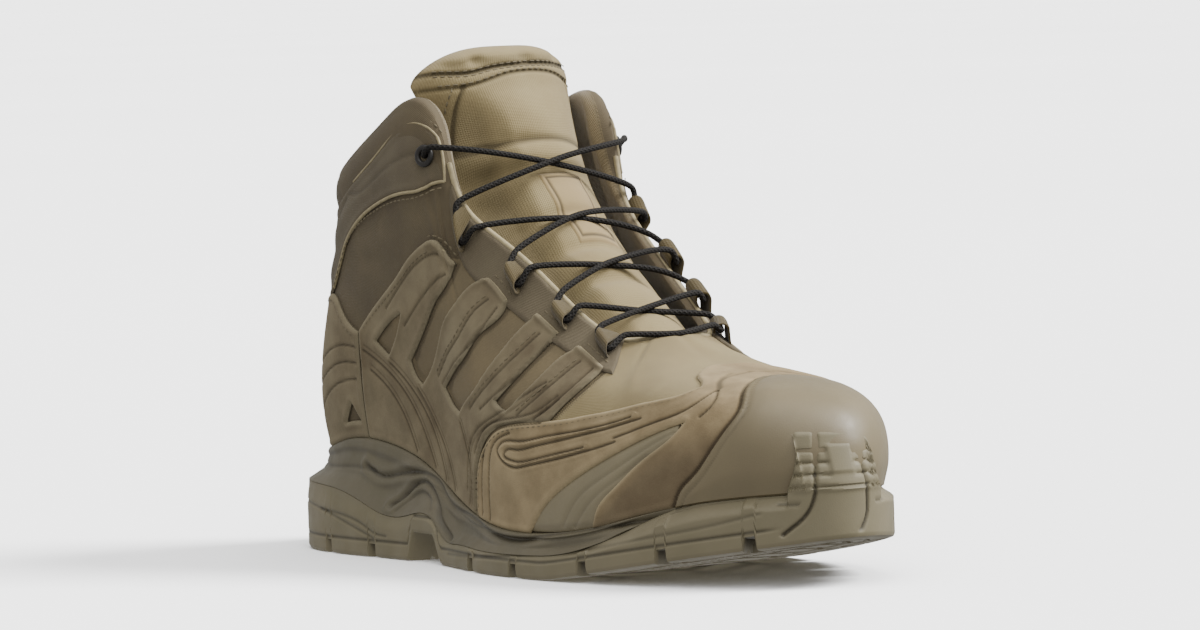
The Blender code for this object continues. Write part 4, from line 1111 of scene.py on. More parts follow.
inner_s = np.linspace(1.0, 0.04, 46)[:, None]
turns = np.radians((92, 110, 135, 160, 180))
lining_rows = [collar_roll(shell_w, turn) for turn in turns]
grid_w, grid_s = np.broadcast_arrays(shell_w[None, :], inner_s)
cushion = 1.1 * bell(grid_s - 0.90, 0.07) * ankle_share(grid_w)
lining_rows += list(offset_surface(grid_w, grid_s, -wall_thickness(grid_w, grid_s) - cushion))[1:]
lining_rows += [offset_surface(shell_w, foot_s, 0 * shell_w - WALL)]
lining_s = np.linspace(1.05, 0.0, len(lining_rows))
lining = fit(shell_piece("collar_lining", lining_rows, lining_s, LINING), "quarter_fabric")


# %% Outlines of the lateral cage, the heel counter and the wing
def along_sole(w_from, w_to):
    """A run along the sole, tucked behind the chassis lip."""
    return [(w_from, 0.0), ((w_from + w_to) / 2, 0.0), (w_to, 0.0)]


V_NOTCH = (0.242, 0.370)
CAGE = outline(
    [(0.242, 0.0), (0.242, 0.12), (0.243, 0.24), V_NOTCH],
    [V_NOTCH, (0.268, 0.430), (0.312, 0.515), (0.357, 0.610), (0.395, 0.685)],
    [(0.395, 0.685), (0.437, 0.76), (0.487, 0.82)],
    [(0.487, 0.82), (0.47, 0.745), (0.443, 0.645), (0.403, 0.525), (0.378, 0.435), (0.34, 0.3)],
    [(0.34, 0.3), (0.346, 0.268), (0.36, 0.25)],
    [
        (0.36, 0.25), (0.385, 0.33), (0.4, 0.39), (0.425, 0.5), (0.47, 0.645), (0.508, 0.765),
        (0.535, 0.84), (0.56, 0.89),
    ],
    [(0.56, 0.89), (0.58, 0.882), (0.6, 0.865)],
    [
        (0.6, 0.865), (0.59, 0.805), (0.565, 0.725), (0.535, 0.645), (0.508, 0.56), (0.465, 0.45),
        (0.415, 0.315),
    ],
    [(0.415, 0.315), (0.432, 0.296), (0.455, 0.3)],
    [
        (0.455, 0.3), (0.485, 0.375), (0.517, 0.45), (0.555, 0.56), (0.59, 0.67), (0.62, 0.78),
        (0.652, 0.905),
    ],
    [(0.652, 0.905), (0.672, 0.897), (0.693, 0.885)],
    [(0.693, 0.885), (0.672, 0.79), (0.642, 0.68), (0.605, 0.565), (0.568, 0.465)],
    [(0.568, 0.465), (0.576, 0.452), (0.588, 0.45)],
    [(0.588, 0.45), (0.623, 0.54), (0.665, 0.665), (0.7, 0.79), (0.728, 0.88)],
    [(0.728, 0.88), (0.755, 0.845), (0.78, 0.8)],
    [(0.78, 0.8), (0.743, 0.685), (0.703, 0.57), (0.665, 0.462)],
    [(0.665, 0.462), (0.62, 0.43), (0.565, 0.37), (0.515, 0.25), (0.487, 0.13), (0.478, 0.0)],
    along_sole(0.478, 0.242),
)
TRIANGLE = outline(
    [(0.328, 0.432), (0.303, 0.395), (0.275, 0.332)],
    [(0.275, 0.332), (0.287, 0.31), (0.298, 0.292)],
    [(0.298, 0.292), (0.313, 0.35), (0.328, 0.432)],
)
SLITS = {
    "strap4": [(0.3, 0.44), (0.345, 0.545), (0.392, 0.64), (0.43, 0.715)],
    "strap4b": [(0.335, 0.4), (0.372, 0.5), (0.415, 0.61), (0.455, 0.715)],
    "strap3": [(0.402, 0.33), (0.44, 0.45), (0.49, 0.59), (0.532, 0.73), (0.562, 0.815)],
    "strap3b": [(0.412, 0.322), (0.462, 0.46), (0.515, 0.59), (0.552, 0.7), (0.58, 0.81)],
    "strap2": [(0.5, 0.37), (0.548, 0.49), (0.597, 0.62), (0.636, 0.74), (0.66, 0.83)],
    "strap2b": [(0.53, 0.4), (0.58, 0.51), (0.625, 0.62), (0.655, 0.72), (0.677, 0.815)],
    "strap1": [(0.61, 0.45), (0.655, 0.56), (0.697, 0.68), (0.733, 0.8)],
    "strap1b": [(0.64, 0.452), (0.685, 0.56), (0.722, 0.665), (0.757, 0.78)],
}
# The long lines that sweep from the straps down to the sole.
SWEEPS = (
    [(0.25, 0.3), (0.3, 0.235), (0.345, 0.14), (0.372, 0.02)],
    [(0.262, 0.235), (0.296, 0.18), (0.322, 0.1), (0.335, 0.02)],
    [(0.35, 0.23), (0.385, 0.16), (0.408, 0.09), (0.418, 0.015)],
    [(0.3, 0.27), (0.345, 0.205), (0.38, 0.12), (0.396, 0.015)],
    [(0.455, 0.27), (0.47, 0.19), (0.47, 0.1), (0.46, 0.02)],
    [(0.672, 0.635), (0.632, 0.545), (0.575, 0.43), (0.52, 0.33), (0.47, 0.18), (0.455, 0.06)],
    [(0.69, 0.59), (0.64, 0.48), (0.59, 0.42), (0.54, 0.35), (0.495, 0.22)],
)
cage_lines = pressed_lines([*SLITS.values(), *SWEEPS], 0.5, 0.5) + pressed_lines(SWEEPS, 0.45, 0.3, 2.0)


# %% The lateral cage
def folded_rim(w, points, depth):
    """The cut edge is turned under, so a low roll runs just inside it."""
    return 0.28 * bell(depth - 1.5, 0.9)


STRAP_ENDS = (
    [(0.399, 0.682), (0.44, 0.756), (0.482, 0.81)],
    [(0.562, 0.884), (0.58, 0.877), (0.597, 0.862)],
    [(0.654, 0.899), (0.672, 0.892), (0.691, 0.881)],
    [(0.73, 0.874), (0.754, 0.84), (0.776, 0.799)],
)
end_lines = np.vstack([upper_surface(*trace(points, 0.8).T) for points in STRAP_ENDS])


def strap_relief(w, points, depth):
    """The straps' ends are folded back on themselves, so they stand up in a welt."""
    away, _ = nearest(points, end_lines)
    return folded_rim(w, points, depth) + 0.75 * bell(away - 0.6, 1.0)


cage = patch(
    "lateral_cage_suede", [CAGE, TRIANGLE], SUEDE, 0.75, 1.15, 0.6, cage_lines, strap_relief, 0.8
)
fit(cage, "suede", "lateral_cage")
# A raised cord along each strap's end, pale as a painted highlight on the folded edge.
highlight_cords = [tube(skin(*trace(points).T, 1.75), 0.5, 8) for points in STRAP_ENDS]
highlight_cord = put_mesh("strap_end_highlight_cord", *joined(highlight_cords), finish=PIPING, closed=True)
fit(highlight_cord, "suede")
seam_4 = trace([(0.252, 0.372), (0.275, 0.42), (0.318, 0.5), (0.362, 0.592), (0.398, 0.662)])
stitch(seam_4, 2.0)
for ends in STRAP_ENDS:
    sew(ends, 2.6, 1.95)
for name in ("strap3", "strap2", "strap1"):
    sew(SLITS[name], 1.6, 1.95, 1.2)

# %% The heel counter
def lateral(points):
    return points


def medial(points):
    """The same (w, s) points on the medial side, in the same order."""
    return [(2 - w, s) for w, s in points]


def behind(points):
    """The same (w, s) points on the medial side, with w counted back from the heel."""
    return [(-w, s) for w, s in points]


def both_ways(points):
    """A line of points up to the toe's middle, and on down the medial side."""
    return points + medial(points[-2::-1])


COUNTER_SIDE = [(0.239, 0.362), (0.224, 0.388), (0.2, 0.458), (0.178, 0.528), (0.158, 0.552)]
COUNTER = outline(
    [(0.239, 0.0), (0.239, 0.18), (0.239, 0.362)],
    COUNTER_SIDE + [
        (0.12, 0.556), (0.06, 0.556), (0.0, 0.56), (-0.06, 0.556), (-0.12, 0.556),
    ] + behind(COUNTER_SIDE[::-1]),
    [(-0.239, 0.362), (-0.239, 0.18), (-0.239, 0.0)],
    along_sole(-0.239, 0.239),
)
window = [(0.214, 0.12), (0.196, 0.055), (0.23, 0.058), (0.214, 0.12)]
HEEL_WINDOW = outline(window[:2], window[1:3], window[2:])
HEEL_SWEEPS = (
    [(0.235, 0.31), (0.19, 0.33), (0.13, 0.3), (0.06, 0.24), (0.0, 0.215)],
    [(0.235, 0.255), (0.19, 0.265), (0.13, 0.225), (0.07, 0.165), (0.03, 0.09), (0.02, 0.02)],
    [(0.232, 0.2), (0.18, 0.19), (0.13, 0.14), (0.1, 0.08), (0.09, 0.02)],
)
counter_lines = pressed_lines([*HEEL_SWEEPS, *map(behind, HEEL_SWEEPS)], 0.5, 0.48)
counter = patch(
    "heel_counter_suede", [COUNTER, HEEL_WINDOW], SUEDE, 0.75, 1.15, 0.68, counter_lines, folded_rim
)
fit(counter, "suede", "heel_counter")
COUNTER_TOP = COUNTER_SIDE + [
    (0.06, 0.556), (0.0, 0.56), (-0.06, 0.556),
] + behind(COUNTER_SIDE[::-1])
sew(COUNTER_TOP, 2.4, 2.0)

# %% The wing round the forefoot, and the wedges in it
SEAM = [(0.482, 0.0), (0.491, 0.13), (0.519, 0.25), (0.569, 0.37), (0.624, 0.432), (0.668, 0.467)]
WING_TOP = [
    (0.668, 0.467), (0.7, 0.49), (0.73, 0.51), (0.77, 0.523), (0.807, 0.525), (0.85, 0.522),
    (0.888, 0.521), (0.93, 0.565),
]
CAP_EDGE = [
    (0.812, 0.0), (0.82, 0.045), (0.838, 0.085), (0.862, 0.15), (0.895, 0.24), (0.93, 0.335),
    (0.952, 0.43), (0.974, 0.52), (1.0, 0.595),
]
WEDGE_BACK = [
    (0.6, 0.0), (0.63, 0.105), (0.662, 0.175), (0.715, 0.255), (0.763, 0.303), (0.81, 0.328),
    (0.858, 0.342),
]
WEDGE_FRONT = [
    (0.858, 0.342), (0.823, 0.275), (0.792, 0.238), (0.765, 0.2), (0.735, 0.143), (0.71, 0.085),
    (0.697, 0.0),
]
WEDGE_LINES = (
    [(0.655, 0.03), (0.68, 0.125), (0.727, 0.205), (0.78, 0.262), (0.836, 0.308)],
    [(0.672, 0.02), (0.7, 0.11), (0.745, 0.183), (0.79, 0.242)],
)
M_SEAM = [
    (1.262, 0.885), (1.31, 0.76), (1.37, 0.6), (1.42, 0.45), (1.46, 0.3), (1.497, 0.15),
    (1.518, 0.0),
]
WING = outline(
    SEAM,
    WING_TOP,
    [(0.93, 0.565), (0.943, 0.62), (0.954, 0.69), (0.97, 0.745)],
    [(0.97, 0.745), (0.983, 0.78), (1.0, 0.792), (1.017, 0.78), (1.03, 0.745)],
    [(1.03, 0.745), (1.046, 0.69), (1.057, 0.62), (1.07, 0.565)],
    [
        (1.07, 0.565), (1.112, 0.521), (1.16, 0.52), (1.205, 0.528), (1.25, 0.535), (1.282, 0.555),
        (1.293, 0.6), (1.28, 0.665), (1.252, 0.755), (1.225, 0.835),
    ],
    [(1.225, 0.835), (1.242, 0.868), (1.262, 0.885)],
    M_SEAM,
    along_sole(1.518, 1.400),
    medial(WEDGE_BACK),
    medial(WEDGE_FRONT),
    along_sole(1.303, 1.186),
    medial(CAP_EDGE) + CAP_EDGE[-2::-1],
    along_sole(0.812, 0.697),
    WEDGE_FRONT[::-1],
    WEDGE_BACK[::-1],
    along_sole(0.600, 0.482),
)
HAIRPIN = [
    (0.812, 0.432), (0.772, 0.428), (0.72, 0.412), (0.662, 0.372), (0.625, 0.338), (0.597, 0.314),
    (0.577, 0.298), (0.572, 0.28), (0.586, 0.268), (0.615, 0.281), (0.67, 0.327), (0.713, 0.352),
]
HAIRPIN_OUT = [
    (0.8, 0.455), (0.755, 0.447), (0.706, 0.428), (0.65, 0.39), (0.605, 0.35), (0.566, 0.312),
    (0.558, 0.28), (0.572, 0.25), (0.608, 0.258), (0.664, 0.302), (0.716, 0.334), (0.76, 0.352),
]
WING_SWEEPS = (
    [(0.652, 0.448), (0.6, 0.405), (0.553, 0.34), (0.518, 0.215), (0.503, 0.1), (0.499, 0.02)],
    [(0.59, 0.37), (0.548, 0.29), (0.53, 0.18), (0.522, 0.08), (0.52, 0.015)],
    [(0.94, 0.52), (0.9, 0.445), (0.865, 0.4), (0.82, 0.385), (0.76, 0.372)],
    [(0.985, 0.69), (0.96, 0.61), (0.935, 0.5), (0.905, 0.4), (0.88, 0.35)],
    [(1.0, 0.7), (0.972, 0.64), (0.945, 0.53)],
)
CAP_TOP = [
    (0.806, 0.0), (0.815, 0.05), (0.833, 0.092), (0.858, 0.16), (0.891, 0.25), (0.926, 0.346),
    (0.949, 0.442), (0.972, 0.532), (1.0, 0.608),
]
wing_lines = pressed_lines((HAIRPIN, HAIRPIN_OUT, *WING_SWEEPS), 0.5, 0.6)
wing_lines += pressed_lines(map(medial, WING_SWEEPS[2:]), 0.5, 0.5)
M_RAYS = (
    [(1.33, 0.56), (1.375, 0.43), (1.41, 0.3)],
    [(1.322, 0.52), (1.355, 0.4), (1.38, 0.29)],
    [(1.305, 0.49), (1.325, 0.39), (1.34, 0.3)],
)
wing_lines += pressed_lines(M_RAYS, 0.5, 0.45) + pressed_lines([both_ways(CAP_TOP)], 0.6, 1.0, 0.6, 0.7)
hairpin_space = upper_surface(*trace(HAIRPIN, 1.0).T)
hairpin_out_space = upper_surface(*trace(HAIRPIN_OUT, 1.0).T)


def wing_relief(w, points, depth):
    """A turned edge, and a raised cord between the two lines of the hairpin."""
    one, _ = nearest(points, hairpin_space)
    two, _ = nearest(points, hairpin_out_space)
    between = np.clip(1 - np.abs(one - two) / 2.2, 0, 1) * (one + two < 5.2)
    return folded_rim(w, points, depth) + 0.55 * between


def wing_painted_shade(w, s):
    """Painted shade: the suede between the wedge and the cap is darkened towards the sole, where it
    turns away from the light.
    """
    m = fold(w)
    return 0.6 * (1 - smoothstep(0.14, 0.36, s)) * smoothstep(-0.02, 0.02, m - 0.69 - 0.42 * s)


wing = patch(
    "forefoot_wing",
    [WING],
    SUEDE_PAINTED_LIGHTER,
    0.75,
    1.15,
    0.62,
    wing_lines,
    wing_relief,
    bevel=0.9,
    shade=wing_painted_shade,
)
fit(wing, "suede", "vamp_overlay")
sew(WING_TOP, -1.9, 1.95)
sew(SEAM, -1.8, 2.0)
sew(M_SEAM, 1.8, 2.0)
sew(M_SEAM, 4.0, 2.0)
sew(medial(WING_TOP[3:]), 1.9, 1.95)
sew(both_ways(CAP_EDGE), -2.2, 1.95)
for points in M_RAYS:
    sew(points, 1.3, 1.9, 1.2)


def wedge_relief(w, points, depth):
    return 0.5 * smoothstep(0.5, 3.0, depth)


for side, name in ((lateral, "wedge_lateral"), (medial, "wedge_medial")):
    back = side([(w - 0.006, s + 0.01) for w, s in WEDGE_BACK])
    front = side([(w + 0.006, s) for w, s in WEDGE_FRONT])
    front[0] = back[-1]
    rim = outline(back, front, [front[-1], back[0]])
    wedge_lines = pressed_lines(map(side, WEDGE_LINES), 0.6, 0.4)
    fit(patch(name, [rim], WEDGE_FINISH, 0.5, 0.5, 0.75, wedge_lines, wedge_relief), "suede")

# %% The toe cap
CAP = outline(both_ways(CAP_TOP), along_sole(1.194, 0.806))


def cap_dome(w, points, depth):
    """The cap is thin at its edge and swells a little over the toes."""
    return 0.7 * smoothstep(0.5, 9.0, depth)


cap_lines = pressed_lines([both_ways(CAP_TOP)], 0.5, 0.45, -2.4, 0.7)
cap = patch("toe_cap_rubber", [CAP], TOE_FINISH, 1.3, 1.65, 0.75, cap_lines, cap_dome, 0.9)
fit(cap, "toe_rubber", "toe_cap")

# %% The medial panel and its ankle guard
PANEL_TOP = [
    (1.761, 0.362), (1.735, 0.425), (1.69, 0.515), (1.645, 0.61), (1.6, 0.705), (1.552, 0.8),
    (1.505, 0.868),
]
PANEL_HEAD = [(1.505, 0.868), (1.44, 0.885), (1.38, 0.892), (1.32, 0.893), (1.268, 0.888)]
PANEL = outline(
    [(1.761, 0.0), (1.761, 0.18), (1.761, 0.362)],
    PANEL_TOP,
    PANEL_HEAD,
    [(w + 0.006, s) for w, s in M_SEAM],
    along_sole(1.524, 1.761),
)


def rounded(corners, share):
    """A closed (w, s) outline with its corners rounded off: each becomes two close points."""
    corners = np.array(corners, float)
    before, after = np.roll(corners, 1, axis=0), np.roll(corners, -1, axis=0)
    points = np.stack([corners + share * (before - corners), corners + share * (after - corners)], 1)
    middle = (points[:, 0] + points[:, 1] + 1.2 * corners) / 3.2
    runs = [[points[k, 0], middle[k], points[k, 1]] for k in range(len(corners))]
    joins = [[points[k, 1], points[(k + 1) % len(corners), 0]] for k in range(len(corners))]
    return outline(*[run for pair in zip(runs, joins) for run in pair])


GUARD_CORNERS = [(1.56, 0.715), (1.432, 0.735), (1.478, 0.26), (1.655, 0.3)]
GUARD_HOLE = rounded(GUARD_CORNERS, 0.13)
guard_middle = np.mean(GUARD_CORNERS, axis=0)
guard_ring = upper_surface(*GUARD_HOLE.T)


def panel_relief(w, points, depth):
    """The turned edge, and a raised welt that runs 3 mm outside the guard's opening."""
    away, _ = nearest(points, guard_ring, closed=True)
    return folded_rim(w, points, depth) + 0.9 * bell(away - 2.6, 1.3) - 0.4 * bell(away - 5.4, 0.7)


def guard_relief(w, points, depth):
    """A flat moulded pad with a step round its rim."""
    return 0.5 * smoothstep(3.4, 5.2, depth) - 0.45 * bell(depth - 3.2, 0.6)


PANEL_SEAMS = (
    [(1.75, 0.3), (1.7, 0.33), (1.665, 0.27), (1.65, 0.16), (1.648, 0.02)],
    [(1.752, 0.24), (1.712, 0.25), (1.69, 0.17), (1.684, 0.02)],
    [(1.722, 0.4), (1.668, 0.51), (1.61, 0.64), (1.57, 0.745)],
    [(1.395, 0.8), (1.41, 0.64), (1.44, 0.44), (1.47, 0.2), (1.49, 0.04)],
)
panel_lines = pressed_lines(PANEL_SEAMS, 0.55, 0.45)
panel = patch(
    "medial_panel_suede", [PANEL, GUARD_HOLE], SUEDE, 0.75, 1.15, 0.75, panel_lines, panel_relief
)
fit(panel, "suede", "medial_panel")
guard_rim = guard_middle + (GUARD_HOLE - guard_middle) * 1.035
guard = patch("ankle_guard", [guard_rim], GUARD_FINISH, 0.5, 0.7, relief=guard_relief, cell=1.0)
fit(guard, "suede")
sew(PANEL_TOP, -1.9, 2.0)
sew(PANEL_TOP, -4.1, 2.0)
sew(PANEL_HEAD, -1.9, 2.0)

# %% The vamp's mesh, the eyestays and the throat's binding
VAMP = outline(
    [(0.65, 0.4), (0.69, 0.64), (0.73, 0.86), (0.76, 0.985)],
    [(0.76, 0.985), (0.88, 0.992), (1.0, 0.992), (1.12, 0.992), (1.24, 0.985)],
    [(1.24, 0.985), (1.29, 0.8), (1.33, 0.64), (1.35, 0.46)],
    [(1.35, 0.46), (1.18, 0.47), (1.06, 0.54), (1.0, 0.6), (0.94, 0.54), (0.82, 0.47), (0.65, 0.4)],
)
SIDE_MESH = outline(
    [(0.262, 0.3), (0.3, 0.44), (0.362, 0.54), (0.412, 0.66), (0.45, 0.76), (0.5, 0.86)],
    [(0.5, 0.86), (0.62, 0.86), (0.75, 0.83), (0.795, 0.79)],
    [(0.795, 0.79), (0.745, 0.6), (0.68, 0.45), (0.6, 0.37), (0.5, 0.26), (0.42, 0.24)],
    [(0.42, 0.24), (0.34, 0.232), (0.262, 0.3)],
)
STRAP_BACKS = (
    [(0.487, 0.82), (0.47, 0.745), (0.443, 0.645), (0.403, 0.525), (0.378, 0.435), (0.345, 0.318)],
    [
        (0.6, 0.865), (0.59, 0.805), (0.565, 0.725), (0.535, 0.645), (0.508, 0.56), (0.465, 0.45),
        (0.42, 0.328),
    ],
    [(0.693, 0.885), (0.672, 0.79), (0.642, 0.68), (0.605, 0.565), (0.572, 0.475)],
    [(0.78, 0.8), (0.743, 0.685), (0.703, 0.57), (0.668, 0.472)],
)
# Painted shadow in the cloth along the straps' lower edges, which also sinks it as a shallow groove.
strap_shadow_grooves = pressed_lines(STRAP_BACKS, 0.8, 0.62, 0.7, 1.0)
# Painted shade in the lower corner of each gap, where it is deepest: a broad shallow line, darkened.
GAP_CORNER_SHADE = (
    [(0.302, 0.392), (0.278, 0.335), (0.296, 0.3)],
    [(0.354, 0.33), (0.347, 0.29), (0.36, 0.268), (0.376, 0.3)],
    [(0.432, 0.345), (0.426, 0.318), (0.438, 0.304), (0.458, 0.318)],
    [(0.576, 0.484), (0.574, 0.464), (0.586, 0.46), (0.594, 0.476)],
)
corners = pressed_lines(GAP_CORNER_SHADE, 1.7, 0.3, step=1.0)
side_mesh = patch("side_mesh", [SIDE_MESH], QUARTER_CLOTH_PAINTED_LIGHTER, 0.5, 0.35, cell=0.9, lines=strap_shadow_grooves + corners)
fit(side_mesh, "quarter_fabric")
vamp = patch("vamp_mesh", [VAMP], MESH_CLOTH, 0.42, 0.45, cell=1.0, lines=strap_shadow_grooves[3:])
fit(vamp, "quarter_fabric")


def throat_s(w):
    """Where the throat's edge runs: on the lateral side its flap reaches in over the tongue."""
    return 0.996 + 0.05 * bell(w - 0.62, 0.12)


stay_w = np.linspace(0.806, 0.455, 12)
for name, side in (("eyestay_lateral", lateral), ("eyestay_medial", medial)):
    stay = outline(
        side([
            (0.455, 0.93), (0.5, 0.85), (0.56, 0.842), (0.62, 0.838), (0.69, 0.83), (0.75, 0.8),
            (0.8, 0.77),
        ]),
        side([(0.800, 0.770), (0.812, 0.860), (0.806, throat_s(0.806) - 0.004)]),
        side([(w, throat_s(w if side is not medial else 2 - w) - 0.004) for w in stay_w]),
        side([(0.455, throat_s(0.455) - 0.004), (0.452, 0.960), (0.455, 0.930)]),
    )
    layer = patch(name, [stay], COLLAR_CLOTH, 0.6, 1.3, cell=1.0)
    fit(layer, "quarter_fabric")
    stitch(trace(side([(0.462, 0.968), (0.56, 0.96), (0.68, 0.956), (0.79, 0.948)])), 1.5)
throat_w = np.linspace(0.438, 1.562, 420)
binding = tube(skin(throat_w, throat_s(throat_w), 0 * throat_w + 0.3), 1.05, 10)
piece = put_mesh("throat_binding", *binding, finish=PIPING, closed=True)
fit(piece, "quarter_fabric")

# %% The collar band, its tab and piping
BAND_LOW = [
    (0.0, 0.535), (0.075, 0.538), (0.14, 0.546), (0.168, 0.568), (0.182, 0.62), (0.195, 0.68),
    (0.233, 0.745), (0.283, 0.763), (0.338, 0.77), (0.372, 0.79), (0.402, 0.845), (0.436, 0.94),
]
BAND_TOP = [
    (0.408, 0.986), (0.38, 0.968), (0.335, 0.946), (0.283, 0.918), (0.22, 0.902), (0.165, 0.892),
    (0.08, 0.884), (0.0, 0.882),
]
BAND_CORNER = [BAND_LOW[-1], (0.428, 0.968), BAND_TOP[0]]
BAND = outline(
    behind(BAND_LOW[:0:-1]) + BAND_LOW,
    BAND_CORNER,
    BAND_TOP + behind(BAND_TOP[-2::-1]),
    behind(BAND_CORNER[::-1]),
)


def band_relief(w, points, depth):
    """The padding under the band swells between its seams, most at the back of the ankle."""
    swell = smoothstep(1.5, 9.0, depth) * (0.35 + 0.65 * bell(fold(w), 0.24))
    return 0.9 * swell + 0.25 * bell(depth - 1.6, 0.9)


BAND_SEAMS = (
    [(0.205, 0.88), (0.235, 0.845), (0.29, 0.85), (0.345, 0.868), (0.392, 0.905)],
    [(0.0, 0.8), (0.08, 0.802), (0.15, 0.82), (0.2, 0.868)],
)
band_lines = pressed_lines([*BAND_SEAMS, *map(behind, BAND_SEAMS)], 0.9, 0.35)
band = patch("collar_band_fabric", [BAND], COLLAR_CLOTH, 0.7, 0.8, relief=band_relief, lines=band_lines)
fit(band, "collar_webbing", "collar_band")
piping_shapes = []
for side in (lateral, behind):
    low_line = trace(side(BAND_LOW[3:]))
    tab_line = trace(side(BAND_CORNER))
    top_line = trace(side(BAND_TOP[:5]))
    for line, size in ((low_line, 0.62), (tab_line, 0.55), (top_line, 0.42)):
        piping_shapes.append(tube(skin(*line.T, 1.35), size, 8))
    stitch(moved_line(low_line, 2.4 if side is behind else -2.4), 2.5)
    stitch(moved_line(top_line, 2.2 if side is behind else -2.2), 0.7)
piping = put_mesh("collar_piping", *joined(piping_shapes), finish=PIPING, closed=True)
fit(piping, "collar_webbing")

# %% [markdown]
# ## The sole
# The rubber outsole is a tray with lugs under it and a bumper over the toe. The moulded chassis
# fills the tray and rises round the upper's foot as a wave, highest over the heel.

# %% Stations round the sole, and lines on its side
# Where the lugs' grooves cross the edge, in mm from the heel, and half of a groove's width.
LUG_GROOVES = (34.0, 66.0, 95.0, 172.0, 203.0, 240.0, 275.0, 308.0)
HALF_GROOVE = 1.75
GROOVE_SLOPE = 0.85


def all_round(marks):
    """Both sides' stations, as w, from the marks of one, in mm from the heel."""
    half = np.unique(np.round(marks, 3)) / HALF_EDGE
    half = half[half < 0.998]
    return np.concatenate([half, [1.0], 2 - half[:0:-1]])


marks = list(np.arange(0.0, HALF_EDGE - 28, 0.95)) + list(np.arange(HALF_EDGE - 28, HALF_EDGE, 0.6))
for at in LUG_GROOVES:
    marks += [at - 2.6, at - HALF_GROOVE, at + HALF_GROOVE, at + 2.6]
sole_w = all_round(marks)
sole_m = fold(sole_w) * HALF_EDGE
to_tip = HALF_EDGE - sole_m
sole_x = edge(sole_w)[:, 0]
sole_middle = middle_x(sole_w)
spine_x = spine(sole_w)[:, 0]
zero = 0 * sole_w
HALF_COUNT = len(sole_w) // 2


def off_line(m, z, points):
    """How far places on the sole's side are from a line through (mm from the heel, height)."""
    return nearest(np.stack(np.broadcast_arrays(m, z), -1), even_line(points))[0]


def rim_ring(out, z):
    """A ring of points at the sole's edge, moved out, at a height."""
    return with_height(edge(sole_w, zero + out), z)


def spoke_ring(out, z, share=0.0):
    """A ring of points at a share of the way from the middle of the foot to such an edge."""
    return with_height(spoke(sole_w, out, zero + share), z)


def sole_piece(name, rows, finish, sharp=40.0):
    """A closed piece from rings round the sole.

    The first and the last ring run along the middle of the foot, where both sides share their
    points: the medial side uses the lateral side's.
    """
    count = len(sole_w)
    quads = grid_quads(len(rows), count, wrap_cols=True)
    row, k = quads // count, quads % count
    shared = np.isin(row, [0, len(rows) - 1])
    quads = row * count + np.where(shared & (k > HALF_COUNT), 2 * HALF_COUNT - k, k)
    return put_mesh(name, rows, quads, finish=finish, sharp=sharp, closed=True)


print("stations round the sole:", len(sole_w))


# %% The outsole
def pulse(x, half, slope):
    """1 within half of 0, falling to 0 over the slope."""
    return 1 - smoothstep(half, half + slope, np.abs(x))


def in_groove(m):
    """1 in a groove between two lugs, by the distance along the edge."""
    return np.max([pulse(m - at, HALF_GROOVE, GROOVE_SLOPE) for at in LUG_GROOVES], axis=0)


TAB_MIDDLE = 6.4
TAB_HALF = (0.0, 10.4, 11.2, 12.8, 15.6, 18.6)
TAB_SHARE = (1.0, 1.0, 0.92, 0.64, 0.31, 0.0)


def tab_share(w):
    """How high the toe bumper's tab is: flat over its middle, then down along its slanted sides."""
    off_middle = np.abs(np.where(np.mod(w, 2) <= 1, 1, -1) * (1 - fold(w)) * HALF_EDGE - TAB_MIDDLE)
    return np.interp(off_middle, TAB_HALF, TAB_SHARE)


def tread_depth(w, share, plan):
    """How deep the tread is cut at a point under the sole, from 0 on a lug to 1 in a groove.

    A ring of lugs runs round the edge; inside a trench there are chevrons that point forward.
    """
    outer = in_groove(fold(w) * HALF_EDGE)
    ring = smoothstep(0.60, 0.635, share)
    trench = pulse(share - 0.60, 0.028, 0.02)
    middle = (edge(fold(w)) + edge(2 - fold(w)))[..., 1] / 2
    across = np.abs(plan[..., 1] - middle)
    lean = np.where(plan[..., 0] > 118, 0.55, -0.55)
    place = np.mod(plan[..., 0] + lean * across, 15.0) - 7.5
    chevron = pulse(place, 1.5, 0.8) * (1 - ring)
    rib = pulse(across, 1.3, 0.7) * (1 - ring)
    sipe = 0.22 * pulse(share - 0.80, 0.012, 0.012) * ring
    parts = np.broadcast_arrays(outer * ring, trench, chevron, rib * 0.8, sipe)
    return np.clip(np.max(parts, axis=0), 0, 1)


lip = lip_height(sole_w)
side_top = along(SOLE_HEIGHTS, 2, sole_x)
# Round the toe the rubber is a rand: it rises past the lip and leans in on the upper.
front = 1 - smoothstep(44, 128, to_tip)
side_top = side_top + (lip + 0.8 - side_top) * front
base = tread(sole_x) + arch(sole_middle)
top = side_top + (BUMPER_TOP - side_top) * tab_share(sole_w)
groove_cut = in_groove(sole_m) * LUG_DEPTH

share = np.concatenate([np.linspace(0, 0.975, 42), [0.985]])[:, None]
under_w = np.broadcast_to(sole_w, (len(share), len(sole_w)))
plan = spoke(under_w, -1.8 + 0 * under_w, share + 0 * under_w)
deep = tread_depth(under_w, share, plan)
lift = arch(middle_x(under_w))
under_z = tread(plan[..., 0]) + lift + deep * LUG_DEPTH * (1 - 0.9 * lift / ARCH_LIFT)
under = with_height(plan, under_z)

